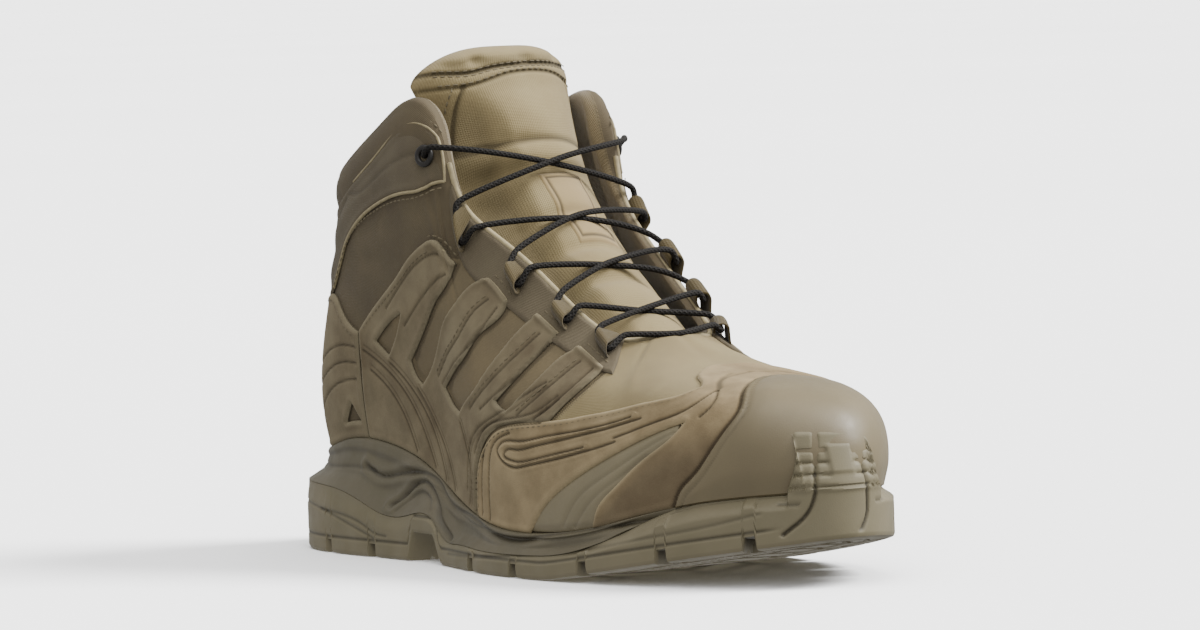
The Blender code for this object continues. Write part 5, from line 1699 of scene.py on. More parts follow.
SIDE_ROWS = 58
t = np.linspace(0, 1, SIDE_ROWS)[:, None]
z_low = base + groove_cut + 1.5
z = z_low + (top - z_low) * t
on_tab = top > lip + 1.5
bump_s = surface_at_height(sole_w, np.maximum(top, lip + 2))
bump_top = offset_surface(sole_w, bump_s, zero + BUMPER_OUT)
rise = np.clip((z - lip) / np.maximum(top - lip, 1e-3), 0, 1) * on_tab
inset = np.where(on_tab, 0.0, -0.8 - 4.2 * front) * smoothstep(0.62, 1.0, t)
side_plan = edge(sole_w) + inset[..., None] * normal(sole_w)
side_plan = side_plan + rise[..., None] * (bump_top[None, :, :2] - side_plan)

# The relief on the side wall: a ledge over the lugs, flowing lines, and the bumper's ribs.
from_tip = np.where(sole_w <= 1, 1, -1) * to_tip
ledge = bell(z - base - 6.0, 0.6) * smoothstep(26, 34, to_tip)
flow = bell(off_line(sole_m, z, [(60, 15.5), (82, 13.3), (90, 11.2), (97, 8.6), (104, 7.9)]), 0.6)
flow += bell(off_line(sole_m, z, [(0, 17.5), (30, 17.2), (58, 15.8), (80, 11.2), (96, 6.9)]), 0.6)
FRONT_FLOW = [(150, 4.6), (176, 5.4), (204, 7.6), (236, 10.6), (264, 15.4), (290, 20.0), (312, 25.0)]
flow += 0.8 * bell(off_line(sole_m, z, FRONT_FLOW), 0.7)
rubber_line = side_top - 1.2
LEFT_CUT = [(10.3, 51.5), (11.8, 44.4), (14.5, 34.7), (15.5, 30.9), (17.6, 25.7), (19.9, 22.9)]
LEFT_CUT += [(24.0, 19.7), (26.3, 18.0)]
RIGHT_CUT = [(-1.3, 51.5), (-1.6, 45.2), (-2.3, 38.7), (-3.0, 33.8), (-3.3, 27.3), (-2.6, 23.1)]
RIGHT_CUT += [(-0.3, 19.0)]
near_tip = to_tip < 32
off_middle = np.abs(from_tip - TAB_MIDDLE)
half_tab = np.minimum(10.6 + 0.6 * (51.0 - z), 21.0)
tab = 1 - smoothstep(half_tab - 1.6, half_tab - 0.2, off_middle)
tab = smoothstep(31.5, 33.2, z) * tab * near_tip
sides = smoothstep(8.4, 9.0, from_tip) + 1 - smoothstep(0.6, 1.2, from_tip)
ribs = np.max([bell(z - height, 0.55) for height in (45.2, 41.2, 37.3)], axis=0) * sides
ribs = np.maximum(ribs, bell(z - 33.4, 0.55)) * (off_middle < half_tab + 0.5) * near_tip
ribs = ribs + 0.7 * bell(z - 27.8, 0.5) * pulse(off_middle - 18.0, 3.5, 1.0) * near_tip
cuts = bell(off_line(from_tip, z, LEFT_CUT), 0.62) + bell(off_line(from_tip, z, RIGHT_CUT), 0.62)
cuts = cuts * near_tip
pad = 0.45 * pulse(from_tip - 4.8, 3.2, 0.5) * pulse(z - 42.4, 4.2, 0.6)
brow = bell(z - rubber_line - 0.6, 0.8) * smoothstep(18, 24, off_middle) * (to_tip < 60)
pressed_side = 0.6 * ledge + 0.45 * flow + 1.1 * cuts + 0.75 * ribs
raised = 0.9 * tab + pad + 0.5 * brow
relief = (raised - pressed_side) * (1 - 0.9 * smoothstep(0.97, 1.0, t))
side_plan = side_plan + relief[..., None] * normal(sole_w)
side_rows = with_height(side_plan, z)
# The corner below the wall is rounded off.
corner = rim_ring(-0.45, base + groove_cut + 0.42)

tray = -0.8 - RUBBER
face_in = offset_surface(sole_w, bump_s, zero + BUMPER_IN)
low_in = offset_surface(sole_w, surface_at_height(sole_w, lip + 1.5), zero + BUMPER_IN)
plain_in = rim_ring(tray - 4.2 * front, top)
bump = on_tab[:, None]
top_in = np.where(bump, face_in, plain_in)
rows = [
    *under,
    corner,
    *side_rows,
    side_rows[-1] * 0.7 + top_in * 0.3 + UP * 0.55,
    side_rows[-1] * 0.3 + top_in * 0.7 + UP * 0.45,
    top_in,
    np.where(bump, low_in, plain_in - UP * 0.2),
    rim_ring(tray, np.minimum(top, lip) - 0.6),
    rim_ring(tray - 0.4, tray_floor(sole_x, sole_middle)),
    spoke_ring(-4.5, tray_floor(spine_x, sole_middle)),
]
outsole = sole_piece("outsole_rubber", rows, RUBBER_FINISH, 38)
pressed_all = np.zeros((len(rows), len(sole_w)))
pressed_all[: len(share)] = 0.8 * deep
side_at = len(share) + 1
pressed_all[side_at : side_at + SIDE_ROWS] = np.clip(pressed_side * 1.4 - 0.9 * raised, 0, 1)
set_value(outsole, "pressed_and_shade", pressed_all)
fit(outsole, "outsole_rubber", "outsole")

# %% The chassis
rubber = np.minimum(side_top, lip - 2.5)
board = along(SOLE_HEIGHTS, 1, sole_x)
tray_in = -0.8 - RUBBER - BED
band_height = np.clip(0.28 * (lip - rubber), 1.2, 8.0)
inset = -lip_inset(sole_w)
waist = 1.6 * (1 - smoothstep(0.72, 0.84, fold(sole_w)))
behind = to_tip < BUMPER_HALF + BUMPER_SLOPE + 6
limit = np.where(behind, tray_in, 0.0) - 6.5 * front
shoulder = 0.45 * (lip - band_height) + 0.55 * rubber
# The wall's section, from the rubber up to the lip: share of the way up, mm out, height.
WALL_KNOTS = (
    (0.0, np.minimum(limit, -0.8), rubber + BED - 0.3),
    (0.3, np.minimum(limit, 0.55 * (inset + RIM) - waist), shoulder),
    (0.6, np.minimum(limit, 0.8 * (inset + RIM) - waist), lip - band_height),
    (0.76, np.minimum(limit, inset + RIM + 0.6), lip - 0.6 * band_height),
    (0.9, np.minimum(limit, inset + RIM), lip - 0.15 * band_height),
    (0.96, np.minimum(limit, inset + RIM - 1.2), lip + 0.2),
    (1.0, inset + 0.4, lip + 0.1),
)
place, *knots = zip(*WALL_KNOTS)
at = np.linspace(0, 1, 44)
wall_out, wall_z = (
    np.array([np.interp(at, place, station) for station in np.array(values).T]).T for values in knots
)
for _ in range(2):
    for wall in (wall_out, wall_z):
        wall[1:-1] = 0.25 * wall[:-2] + 0.5 * wall[1:-1] + 0.25 * wall[2:]
SECOND = [(84, 31.5), (94, 28.2), (103, 29.0), (114.5, 30.7), (124.4, 30.3), (133.6, 27.2)]
SECOND += [(141, 22.4), (159.6, 18.6), (178.6, 15.0), (195.6, 12.6), (207, 13.2), (222, 15.6)]
SECOND += [(251, 19.4), (281, 24.0), (305, 27.6)]
THIRD = [(104, 18.5), (110, 22.0), (116, 26.2), (122, 27.6), (128, 25.4), (133.6, 19.6)]
THIRD += [(140.8, 13.4), (150, 9.4)]
FOURTH = [(108, 17.0), (114, 21.0), (120, 23.8), (126, 22.5), (131, 18.6)]
HEEL_LINE = [(0, 31.0), (30, 30.6), (56, 29.8), (76, 30.6), (90, 30.0)]
second, third, fourth, heel_line = (
    off_line(sole_m, wall_z, points) for points in (SECOND, THIRD, FOURTH, HEEL_LINE)
)
inside_share = smoothstep(0.0, 0.06, at)[:, None] * (1 - smoothstep(0.9, 0.97, at)[:, None])
pressed_wall = 0.8 * bell(second, 0.75) + 0.85 * bell(third, 0.75) + 0.5 * bell(fourth, 0.7)
pressed_wall = (pressed_wall + 0.5 * bell(heel_line, 0.7)) * inside_share
raised_wall = (0.75 * bell(second - 2.4, 1.5) + 0.7 * bell(third - 2.2, 1.4)) * inside_share
raised_wall = raised_wall * (1 - 0.6 * bell(second, 1.2))
wall_plan = edge(sole_w) + (wall_out + raised_wall - pressed_wall)[..., None] * normal(sole_w)
floor_z, floor_in = (tray_floor(x, sole_middle) + BED + GAP for x in (sole_x, spine_x))
board_in = along(SOLE_HEIGHTS, 1, spine_x)
wall_foot = [
    spoke_ring(tray_in - 1.2, floor_in),
    rim_ring(tray_in - 1.2, floor_z),
    rim_ring(tray_in - 0.5, rubber + BED - 0.3),
]
board = np.minimum(board, lip - 1.6)
wall_head = [rim_ring(inset + GAP, board), spoke_ring(inset, board_in)]
rows = [*wall_foot, *with_height(wall_plan, wall_z), *wall_head]
chassis = sole_piece("chassis_wave", rows, CHASSIS_FINISH, 50)
pressed_all = np.zeros((len(rows), len(sole_w)))
pressed_all[len(wall_foot) : len(wall_foot) + len(at)] = np.clip(pressed_wall * 0.9, 0, 1)
set_value(chassis, "pressed_and_shade", pressed_all)
fit(chassis, "chassis_foam", "midsole")

# %% The insole
inset_in = inset - WALL - 0.6
insole_board, insole_in = board + BED + GAP, board_in + BED + GAP
insole_rows = [spoke_ring(inset_in, insole_in), rim_ring(inset_in, insole_board)]
# The foot bed's top: share of the way out from the middle, and height.
BED_TOP = ((1.0, 3.4), (0.992, 4.0), (0.97, 4.2), (0.9, 4.2), (0.75, 4.0), (0.5, 3.9), (0.0, 4.1))
for shares, height in BED_TOP:
    level = insole_in + shares * (insole_board - insole_in)
    insole_rows.append(spoke_ring(inset_in, level + height, shares))
insole_rows = np.array(insole_rows)
insole = sole_piece("insole_footbed", insole_rows, INSOLE_CLOTH)
set_uv(insole, insole_rows[..., :2])
fit(insole, "insole_fabric", "insole")

# %% [markdown]
# ## The tongue
# A padded bellows tongue: a rolled rim with dimples, a stitched band under it, a smooth front
# pad, soft folds where the laces press, and a plain label patch.

# %% The tongue's middle line and width
TONGUE = (
    # x, z, half width, fall, thickness
    (218, 67.3, 16, 3, 2.4),
    (206, 72, 18, 3.5, 3),
    (189.5, 79.6, 20.5, 7.5, 4.5),
    (170.5, 90, 24.2, 8, 6),
    (151.5, 103.5, 26.2, 9.5, 7),
    (134.5, 118.5, 27.2, 10, 7.5),
    (122.5, 136, 27.6, 12, 8.5),
    (115.5, 153, 30, 15, 9.5),
    (111, 164.5, 33.4, 17, 12),
    (108, 171.5, 34.2, 16, 13),
    (106, 178, 32.5, 14, 13),
)
TONGUE_SPACING = np.linspace(0, 1, len(TONGUE))
TONGUE_LENGTH = 170.0
TONGUE_HALF = 28.0


def tongue_row(v, name):
    return spline(TONGUE_SPACING, column(TONGUE, name), v)


def tongue_path(v):
    """The middle line's x and z, and its unit normal forward and up."""
    point, ahead, before = (
        np.stack([tongue_row(v + by, k) for k in (0, 1)], -1) for by in (0, 1e-3, -1e-3)
    )
    way = unit(ahead - before)
    return point, unit(np.stack([way[..., 1], -way[..., 0] * (1 - smoothstep(0.55, 0.72, v))], -1))


def tongue_surface(v, a, depth):
    """A point of the tongue: v up its length, a across it from -1 (lateral) to 1, depth inward."""
    v, a, depth = np.broadcast_arrays(np.asarray(v, float), np.asarray(a, float), depth)
    point, across = tongue_path(v)
    half, fall = tongue_row(v, 2), tongue_row(v, 3)
    back = fall * np.abs(a) ** 2.2 + depth
    y = a * half * (1 - 0.04 * depth * np.abs(a) / 10)
    point = point - across * back[..., None]
    return np.stack([point[..., 0], y, point[..., 1]], -1)


def tongue_line(points):
    """A smooth line on the tongue through (v, a) points."""
    return even_line(points, [TONGUE_LENGTH, TONGUE_HALF])


# %% The tongue's seams and folds
TOP_BAND = [(0.835, -1.0), (0.858, -0.80), (0.858, -0.56), (0.881, -0.34), (0.901, 0.03)]
BAND_LINE = tongue_line(TOP_BAND + [(0.896, 0.45), (0.868, 0.78), (0.842, 1.0)])
FACE = [(0.780, -1.0), (0.790, -0.80), (0.797, -0.61), (0.822, -0.37), (0.855, -0.10), (0.862, 0.16)]
PANEL_LINE = tongue_line(FACE + [(0.848, 0.44), (0.806, 0.74), (0.780, 1.0)])
SIDE_LINE = tongue_line([(0.797, -0.61), (0.745, -0.71), (0.700, -0.79), (0.646, -0.90)])
FAR_LINE = tongue_line([(0.806, 0.74), (0.745, 0.83), (0.690, 0.90), (0.646, 0.94)])
PAD_FOOT = tongue_line([(0.640, -0.95), (0.646, -0.50), (0.652, 0.0), (0.646, 0.50), (0.640, 0.95)])
TONGUE_SEAMS = (
    # line, depth, width
    (BAND_LINE, 1.2, 0.9),
    (PANEL_LINE, 0.9, 0.8),
    (SIDE_LINE, 0.8, 0.8),
    (FAR_LINE, 0.7, 0.8),
    (PAD_FOOT, 0.9, 1.2),
)
PAD_SWELL = 2.8
LATERAL_DIP = 4.2
RING_WIDE = 0.62
RING_DEEP = 0.5
FOLDS = (
    # v, a, half length across (mm), half width along (mm), height
    (0.720, 0.02, 17, 11, 1.6),
    (0.622, -0.45, 15, 4.2, 1.7),
    (0.618, 0.45, 13, 4.2, 1.2),
    (0.590, -0.10, 17, 2.2, -1.6),
    (0.573, -0.84, 6.5, 6.5, -2.8),
    (0.600, -0.56, 7, 2.4, -2.4),
    (0.655, -0.30, 9, 2, -0.9),
    (0.556, -0.72, 4.5, 3.6, -1.6),
    (0.530, 0.20, 15, 5, 1.3),
    (0.497, 0, 18, 2, -1.6),
    (0.463, 0.12, 15, 4.8, 1.2),
    (0.424, 0, 18, 2, -1.7),
    (0.388, 0.08, 15, 4.6, 1.2),
    (0.347, 0, 17, 2, -1.7),
    (0.312, 0.05, 13, 4.2, 1),
    (0.272, 0, 15, 2.6, -1),
    (0.235, 0.05, 12, 4, 0.8),
    (0.945, -0.20, 26, 5.5, 0.9),
    (0.928, -0.455, 2.4, 5, -1.7),
    (0.932, 0.115, 2.4, 5, -1.7),
    (0.928, 0.62, 2.4, 5, -1.6),
    (0.905, -0.72, 3, 4.5, -1.2),
)


def tongue_lift(v, a):
    """How far the padding stands out, folds as soft bumps and seams drawn in as grooves; and the seams'
    depth plus the painted shade under the throat's flap.
    """
    spot = tongue_surface(v, a, 0.0)
    half = tongue_row(v, 2)
    swell = smoothstep(0.16, 0.34, v) * (1 - smoothstep(0.66, 0.80, v))
    total = PAD_SWELL * bell(a - 0.08, 0.62) - LATERAL_DIP * smoothstep(0.32, 0.60, -a)
    total = swell * total + np.zeros(np.shape(spot)[:-1])
    for fv, fa, length, width, height in FOLDS:
        total = total + height * bell((a - fa) * half, length) * bell((v - fv) * TONGUE_LENGTH, width)
    # Painted shade under the throat's flap: the cloth there is darkened, and the face sinks with it.
    seam_pull_and_shade = 0.55 * swell * smoothstep(0.42, 0.62, -a) + np.zeros(total.shape)
    for line, depth, width in TONGUE_SEAMS:
        away, _ = nearest(spot, tongue_surface(*line.T, 0.0))
        seam_pull_and_shade = seam_pull_and_shade + depth * bell(away, width)
    return total - seam_pull_and_shade, seam_pull_and_shade


def tongue_thickness(v, a):
    """The padding thins out towards the tongue's sides."""
    return tongue_row(v, 4) * (1 - 0.45 * np.abs(a) ** 4)


def tongue_front(v, a, out):
    """A point in front of the padded tongue: out is measured from the swollen, seamed surface."""
    v, a = np.broadcast_arrays(np.asarray(v, float), np.asarray(a, float))
    side_on = np.sqrt(1 - np.abs(a) ** (2 / RING_WIDE))
    thick = tongue_thickness(v, a)
    raised, _ = tongue_lift(v, a)
    ring_depth = 0.5 - 0.5 * side_on**RING_DEEP
    depth = thick * ring_depth + 0.22 * thick * np.abs(a) ** 4 * (1 - ring_depth)
    return tongue_surface(v, a, depth - raised * np.sqrt(1 - 2 * ring_depth) - out)


# %% The tongue
RING = 220
TIP_V = 0.955
ring = np.linspace(0, 2 * np.pi, RING, endpoint=False)
ring_a = np.sign(np.cos(ring)) * np.abs(np.cos(ring)) ** RING_WIDE
ring_d = 0.5 - 0.5 * np.sign(np.sin(ring)) * np.abs(np.sin(ring)) ** RING_DEEP
v_end = TIP_V + (1 - TIP_V) * np.sin(np.linspace(0.1, 0.5, 12) * np.pi)
v_rows = np.concatenate([np.linspace(0.0, TIP_V, 165), v_end])[:, None]
# How thick the ring still is: 1, and closing to almost nothing over the tip.
close = np.clip((v_rows - TIP_V) / (1 - TIP_V), 0, 1)
close = np.sqrt(np.clip(1 - close**2, 0, 1)) * 0.985 + 0.015
vv, aa = np.broadcast_arrays(v_rows, ring_a)
thick = tongue_thickness(vv, aa)
# The top edge is domed: its corners stand lower than its middle.
vv = vv - 0.20 * np.abs(aa) ** 3.4 * smoothstep(0.45, 1.0, vv)
lift, seam_pull_and_shade = tongue_lift(vv, aa)
facing = np.sqrt(np.abs(1 - 2 * ring_d))
front = (ring_d < 0.5) * facing
depth = thick * (0.5 + (ring_d - 0.5) * close) - lift * front * close
# Where the front sinks in by more than a millimetre, the back gives way as much.
depth = depth - np.minimum(lift + 1.0, 0) * (ring_d > 0.5) * facing * close
depth = depth + 0.22 * thick * np.abs(aa) ** 4 * (1 - ring_d)
points = tongue_surface(vv, aa, depth)
quads = grid_quads(len(v_rows), RING, wrap_cols=True)
# The two ends close straight across, from each point to the one behind it.
number = np.arange(1, RING // 2)
strip = np.stack([number[:-1], number[1:], RING - number[1:], RING - number[:-1]], -1)
tips = np.array([[0, 1, RING - 1], [RING // 2, RING // 2 + 1, RING // 2 - 1]])
last = (len(v_rows) - 1) * RING
quads = np.vstack([quads, strip, strip[:, ::-1] + last])
tips = np.vstack([tips[:, ::-1], tips + last])
tongue = put_mesh("tongue_padded", points, quads, tips, finish=TONGUE_CLOTH, closed=True, sharp=70)
set_uv(tongue, np.stack([aa * TONGUE_HALF, vv * TONGUE_LENGTH + ring_d * 9.0], -1))
# The seams and the painted shade under the throat's flap darken the cloth.
set_value(tongue, "pressed_and_shade", seam_pull_and_shade * front)
fit(tongue, "tongue_fabric", "tongue")


def sew_tongue(line, across_by, v_by, wide=0.86):
    """A row of stitches beside a line on the tongue, as far as it can be seen from the front."""
    line = line[np.abs(line[:, 1] + across_by) < wide] + [v_by, across_by]
    spots, ways = even_places(tongue_front(*line.T, 0.1), STITCH_PITCH)
    STITCHES.append(rods(spots, ways, [0.85, -0.3, 0.45], 0.9, 0.28))


sew_tongue(BAND_LINE, 0.0, -0.014)
sew_tongue(BAND_LINE, 0.0, 0.013)
sew_tongue(PANEL_LINE, 0.0, 0.012)
sew_tongue(SIDE_LINE, -0.09, 0.0)
sew_tongue(FAR_LINE, 0.07, 0.0)

# %% The plain label on the tongue
LABEL_ROWS, LABEL_COLS, LABEL_CELL = 70, 50, 0.38
label_v, label_a = np.meshgrid(
    np.linspace(0.432, 0.582, LABEL_ROWS), np.linspace(-0.15, 0.55, LABEL_COLS), indexing="ij"
)
label_a = label_a - 0.5 * (label_v - 0.5)
row, col = np.indices(label_v.shape)
edge_away = LABEL_CELL * np.min([row, LABEL_ROWS - 1 - row, col, LABEL_COLS - 1 - col], axis=0)
hem = bell(edge_away - 1.9, 0.5)
label_out = 0.55 * np.sqrt(1 - (1 - np.clip(edge_away / 1.2, 0, 1)) ** 2) - 0.1 - 0.3 * hem
label_points = tongue_front(label_v, label_a, label_out)
label = put_mesh(
    "tongue_label", label_points, grid_quads(LABEL_ROWS, LABEL_COLS)[:, ::-1], finish=LABEL_CLOTH
)
set_uv(label, np.stack([label_a * TONGUE_HALF, label_v * TONGUE_LENGTH], -1))
set_value(label, "pressed_and_shade", hem)
fit(label, "tongue_fabric")

# %% [markdown]
# ## Lace, guides and eyelets
# Eight folded webbing guides along the throat and two eyelets at the collar carry one lace.

# %% Places of the guides, and the webbing's section
GUIDES = (
    # number, w, top end and low end: mm along the throat toward the toe, mm out from its edge
    ("1", 0.778, (-3.5, 3.0), (1.6, 8.6)),
    ("2", 0.690, (-2.5, 2.0), (4.0, 4.4)),
    ("3", 0.605, (-2.5, 2.0), (3.7, 5.0)),
    ("4", 0.511, (-6.5, 3.6), (-1.2, 8.4)),
)
LOOP_RADIUS = 2.55
LOOP_RISE = 3.9
HALF_WEBBING = 0.45
TAIL_AT = 10.5
MEDIAL_IN = 2.0
EYELET_W = 0.389
EYELET_S = 0.90
EDGE_TURN = 0.423


def throat_point(w_mid, along_mm, out_mm, height):
    """A point by the throat: mm toward the toe from w_mid, out from the edge, and off the upper."""
    along_mm, out_mm, height = np.broadcast_arrays(along_mm, np.asarray(out_mm, float), height)
    out_mm = out_mm - (MEDIAL_IN if w_mid > 1 else 0.0)
    e = 1e-3
    dw = np.linalg.norm(upper_surface(w_mid + e, 0.97) - upper_surface(w_mid - e, 0.97)) / (2 * e)
    ds = np.linalg.norm(upper_surface(w_mid, 0.97) - upper_surface(w_mid, 0.97 - e)) / e
    w = w_mid + along_mm / dw * (1 if w_mid < 1 else -1)
    line = offset_surface(w, 1 - np.clip(out_mm, 0, None) / ds, height)
    beyond = unit(upper_surface(w_mid, 1.0) - upper_surface(w_mid, 0.97))
    return line + np.clip(-out_mm, 0, None)[..., None] * beyond


def guide_ends(w, top, low):
    """The far side's guides are drawn tighter: their ends stay nearer to the edge."""
    if w < 1:
        return top, low
    return (top[0], top[1] - (2.8 if top[1] < 2.5 else 0.0)), (low[0] + 1.8, low[1] - 4.0)


def both_sides(w):
    return (("L", w), ("M", 2 - w))


def webbing_path(tail):
    """A folded webbing in section: in along the upper, round the lace, and back down to its tail.

    Two columns: out from the loop's middle, and up from the upper's face.
    """
    turn = np.radians(np.linspace(-90, -294, 34))
    loop = np.stack([LOOP_RADIUS * np.cos(turn), LOOP_RISE + LOOP_RADIUS * np.sin(turn)], 1)
    under = np.linspace([tail, 0.2], [0.6, loop[0, 1]], 9)
    over = np.linspace(loop[-1] + [0.6, -0.26], [tail, 1.15], 12)
    return np.vstack([under, loop, over])


def webbing_guide(name, w_mid, top, low):
    rings = []
    ways = np.sin(np.linspace(-0.5, 0.5, 15) * np.pi) / 2 + 0.5
    for share in ways:
        at = top[0] + (low[0] - top[0]) * share
        out = top[1] + (low[1] - top[1]) * share
        path = webbing_path(max(TAIL_AT - out, 5.0) if w_mid > 1 else max(out + 1.6, 3.4))
        way = np.gradient(path, axis=0)
        side = unit(np.stack([-way[:, 1], way[:, 0]], 1))
        # The webbing's woven edges are a little thinner than its middle.
        half = HALF_WEBBING * (1 - 0.4 * abs(2 * share - 1) ** 6)
        section = np.vstack([path + side * half, (path - side * half)[::-1]])
        if w_mid < 1:
            section = section[::-1] * (-1.0, 1.0)
        rings.append(throat_point(w_mid, at, out + section[:, 0], section[:, 1]))
    rings = np.array(rings)
    count = rings.shape[1]
    k = np.arange(count // 2 - 1)
    near_end = np.stack([k, k + 1, count - 2 - k, count - 1 - k], -1)
    far_end = near_end[:, ::-1] + (len(rings) - 1) * count
    quads = np.vstack([grid_quads(len(rings), count, wrap_cols=True), near_end, far_end])
    guide = put_mesh(name, rings, quads, finish=WEBBING, closed=True, sharp=50)
    length = run_length(path)
    length = np.concatenate([length, length[::-1]])
    set_uv(guide, np.stack(np.broadcast_arrays(ways[:, None] * 9.0, length[None, :]), -1))
    return guide


for number, w, top, low in GUIDES:
    for side, place in (("lateral_", w), ("medial_", 2 - w)):
        guide = webbing_guide("webbing_" + side + number, place, *guide_ends(place, top, low))
        fit(guide, "guide_webbing", "guide_" + side + number)


# %% The eyelets
def eyelet_ring(name, w):
    """A rolled metal ring: a flattened circle swept round the hole."""
    n, centre = upper_normal(w, EYELET_S), upper_surface(w, EYELET_S)
    across = unit(np.cross(n, UP))
    up = np.cross(across, n)
    turn = np.linspace(0, 2 * np.pi, 48, endpoint=False)[:, None, None]
    section = np.linspace(0, 2 * np.pi, 16, endpoint=False)[:, None]
    radius = 2.9 + 1.05 * np.cos(section)
    height = 2.35 + 0.95 * np.sin(section)
    points = centre + radius * (np.cos(turn) * across + np.sin(turn) * up) + height * n
    return put_mesh(name, points, grid_quads(48, 16, True, True), finish=EYELET_PAINT, closed=True)


fit(eyelet_ring("eyelet_ring_lateral", EYELET_W), "eyelet_paint", "eyelet_lateral")
fit(eyelet_ring("eyelet_ring_medial", 2 - EYELET_W), "eyelet_paint", "eyelet_medial")


# %% The lace's route
def lace_spots():
    """Points at each end of each guide: inside it, at its mouth, and off the throat's edge."""
    spots = {}
    for number, w, top, low in GUIDES:
        for side, place in both_sides(w):
            high, lower = guide_ends(place, top, low)
            ends = (("high", high, -1, LEADS[number][0]), ("low", lower, 1, LEADS[number][1]))
            for end, (at, out), way, lead in ends:
                run = ((at - way * 2.0, out, LOOP_RISE), (at + way * 0.6, out, LOOP_RISE), lead)
                spots[side + number + end] = [throat_point(place, *spot) for spot in run]
    for side, place in both_sides(EYELET_W):
        hole = [offset_surface(place, EYELET_S, height) for height in (0.4, 3.4)]
        turn_at = EDGE_TURN if place < 1 else 2 - EDGE_TURN
        away = np.array([0.75, -0.66 if place < 1 else 0.66, 0.0])
        between = offset_surface(0.402 if place < 1 else 2 - 0.402, 0.945, 4.6)
        spots[side + "5"] = [hole[0], hole[1], between, upper_surface(turn_at, 1.0) + 4.6 * away]
    return spots


LEADS = {
    # where the lace crosses the throat's edge above and below each guide: mm along, out, up
    "1": ((-4.2, 0.0, 4.0), (4.6, 1.5, 4.6)),
    "2": ((-3.4, -4.2, 1.6), (6.4, -3.0, 4.0)),
    "3": ((-3.4, -4.2, 1.6), (6.3, -3.0, 4.0)),
    "4": ((-8.6, 0.5, 4.4), (3.2, 0.5, 4.6)),
}
MEETINGS = {
    # where the two stretches of a pair cross over the tongue, mm
    "4": (128.5, 0.4, 137.7),
    "3": (141.5, 0.2, 118.8),
    "2": (160.6, -0.1, 103.0),
    "1": (180.5, 0.1, 87.7),
    "bar": (199.3, 0.0, 80.0),
}
ROUTE = (
    # start, end, which meeting, how far over it, fullness at the start and the end
    ("M5", "L4high", "4", 1.15, 1.0, 0.15),
    ("L4low", "M3high", "3", -1.15, 0.15, 0.6),
    ("M3low", "L2high", "2", 1.15, 0.4, 0.15),
    ("L2low", "M1high", "1", -1.15, 0.15, 0.15),
    ("M1low", "L1low", "bar", 0.0, 0.15, 0.15),
    ("L1high", "M2low", "1", 1.15, 0.15, 0.15),
    ("M2high", "L3low", "2", -1.15, 1.0, 0.15),
    ("L3high", "M4low", "3", 1.15, 0.15, 0.15),
    ("M4high", "L5", "4", -1.15, 0.15, 1.0),
)


def over_tongue(start, finish_at, meeting, over, full_start, full_end, count=24):
    """A stretch of lace: two Hermite curves that meet at one point over the tongue, one way."""
    middle = np.array(MEETINGS[meeting]) + over * np.array([0.8, 0.0, 0.6])
    a, d = start[-1], finish_at[-1]
    across, lead, tail = unit(d - a), unit(a - start[-2]), unit(finish_at[-2] - d)
    t = np.linspace(0, 1, count)[:, None]
    halves = []
    spans = ((a, middle, lead, across, full_start, 1.0), (middle, d, across, tail, 1.0, full_end))
    for p, q, u, v, fu, fv in spans:
        span = np.linalg.norm(q - p)
        halves.append(
            (2 * t**3 - 3 * t * t + 1) * p
            + (t**3 - 2 * t * t + t) * u * span * fu
            + (3 * t * t - 2 * t**3) * q
            + (t**3 - t * t) * v * span * fv
        )
    return np.vstack([halves[0], halves[1][1:]])


SPOTS = lace_spots()
route = []
for start, end, *rest in ROUTE:
    route.append(np.array(SPOTS[start])[:-1])
    route.append(over_tongue(SPOTS[start], SPOTS[end], *rest))
    route.append(np.array(SPOTS[end])[-2::-1])
route = np.vstack(route)
length = run_length(route)
route = np.stack([np.interp(np.arange(0, length[-1], 0.8), length, row) for row in route.T], -1)
for _ in range(5):
    # Smoothing: each point moves to the average of its neighbours and itself.
    route[1:-1] = (route[:-2] + 2 * route[1:-1] + route[2:]) / 4
fine = run_length(route)
print("lace:", round(float(fine[-1])), "mm")


# %% The lace
def carried_frame(path):
    """Side vectors along a path that never twist: each is the last less its part along the way."""
    way = unit(np.gradient(path, axis=0))
    side = np.zeros_like(way)
    now = np.cross(way[0], UP)
    for k, direction in enumerate(way):
        now = unit(now - direction * (now @ direction))
        side[k] = now
    return way, side


way, side = carried_frame(route)
SIDES = 14
rings = rings_round(route, side, np.cross(way, side), LACE_RADIUS, SIDES)
points = np.vstack([rings.reshape(-1, 3), route[:1], route[-1:]])
quads = grid_quads(len(route), SIDES, wrap_cols=True)
tris = end_fans(SIDES, len(route) * SIDES)
lace = put_mesh("lace", points, quads, tris, CORD_FINISH, closed=True)
uv = np.stack(np.broadcast_arrays(fine[:, None], np.linspace(0, LACE_ROUND, SIDES)), -1).reshape(-1, 2)
set_uv(lace, np.vstack([uv, uv[:1], uv[-1:]]))
CROSSINGS = ("lace_crossing_1", "lace_crossing_2", "lace_crossing_3", "lace_crossing_4")
fit(lace, "lace_cord", *CROSSINGS, "lace_bar")

# %% [markdown]
# ## Sewing
# Every row of stitches above becomes one mesh of small rods.

# %% The stitches as one piece
sewing = put_mesh("stitching", *joined(STITCHES), finish=THREAD, closed=True)
fit(sewing, "suede")

# %% [markdown]
# ## The studio
# A pale floor and sky of one brightness, three far soft lamps (a key high on the toe's side, one from
# above and a fill from the camera's side), and the camera: low, on the lateral side, ahead of the toe,
# as a product shot is taken.

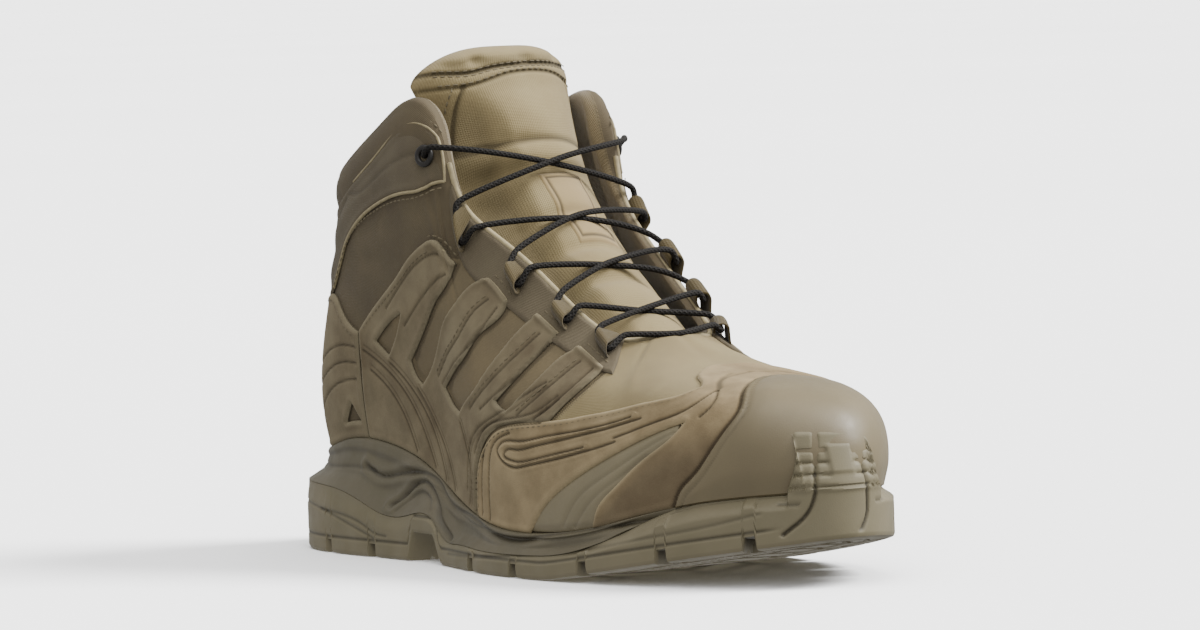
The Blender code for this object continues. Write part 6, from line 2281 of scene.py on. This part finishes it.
# %% Floor, lamps and camera
def studio():
    floor_mesh = bpy.data.meshes.new("floor")
    size = 60.0
    corners = [(-size, -size, 0), (size, -size, 0), (size, size, 0), (-size, size, 0)]
    floor_mesh.from_pydata(corners, [], [(0, 1, 2, 3)])
    made, tree, shader = new_material("studio floor", Roughness=0.85)
    shade = mottled(tree, object_place(tree), 0.5, "#f1f1f1", "#f4f4f4")
    tree.links.new(shade, shader.inputs["Base Color"])
    floor_mesh.materials.append(made)
    floor = bpy.data.objects.new("floor", floor_mesh)
    bpy.context.scene.collection.objects.link(floor)
    floor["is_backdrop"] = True
    # The floor throws no light back, as if it were far below: the shaded side keeps its depth.
    floor.visible_diffuse = False
    floor.visible_glossy = False
    # The backdrop is paler to the eye than the light it sheds, as a far white wall would be.
    world = bpy.data.worlds.new("studio")
    world.use_nodes = True
    tree = world.node_tree
    seen = add(tree, "ShaderNodeLightPath").outputs["Is Camera Ray"]
    bright = ranged(tree, seen, 0.0, 1.0, SKY_LIGHT, SKY_SEEN)
    tree.nodes["Background"].inputs["Color"].default_value = (1.0, 1.0, 1.0, 1.0)
    tree.links.new(bright, tree.nodes["Background"].inputs["Strength"])
    bpy.context.scene.world = world


def aim(obj, target):
    """The axes right, up and back of an object whose -z axis points at a target."""
    back = unit(np.array(obj.location) - np.array(target))
    right = unit(np.cross(UP, back))
    return right, np.cross(back, right), back


def set_axes(obj, right, up, back):
    matrix = np.eye(4)
    matrix[:3, 0], matrix[:3, 1], matrix[:3, 2] = right, up, back
    matrix[:3, 3] = np.array(obj.location)
    obj.matrix_world = Matrix(matrix.tolist())


def sun(name, place, wide, power):
    """A far soft lamp that lights the whole floor evenly; wide is its spread in degrees."""
    data = bpy.data.lights.new(name, "SUN")
    data.angle = math.radians(wide)
    data.energy = power
    obj = bpy.data.objects.new(name, data)
    bpy.context.scene.collection.objects.link(obj)
    obj.location = place
    set_axes(obj, *aim(obj, (0.0, 0.0, 0.0)))


SKY_LIGHT = 1.0
SKY_SEEN = 3.6
studio()
sun("key", (1.3, 1.7, 1.9), 28.0, 10.0)
sun("top", (0.5, -0.3, 2.5), 60.0, 3.0)
sun("fill", (1.8, -1.3, 1.5), 50.0, 1.3)

camera_data = bpy.data.cameras.new("camera")
camera_data.sensor_width = 36.0
camera_data.lens = 191.94
camera_data.clip_start = 0.1
camera_data.clip_end = 200.0
camera = bpy.data.objects.new("camera", camera_data)
bpy.context.scene.collection.objects.link(camera)
camera.location = (1.7934, -1.2659, 0.2012)


def camera_axes():
    """The axes that look at AIM, with the horizon rolled by ROLL degrees."""
    right, up, back = aim(camera, AIM)
    turn = math.radians(ROLL)
    c, s = math.cos(turn), math.sin(turn)
    return right * c + up * s, up * c - right * s, back


AIM = (0.01823, -0.00586, 0.08588)
ROLL = -1.798
set_axes(camera, *camera_axes())
bpy.context.scene.camera = camera
print("camera", round(float(np.linalg.norm(np.array(camera.location))), 2), "m away")

# %% Sizes
low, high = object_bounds()
print("visual box", [round(v, 4) for v in low], [round(v, 4) for v in high])
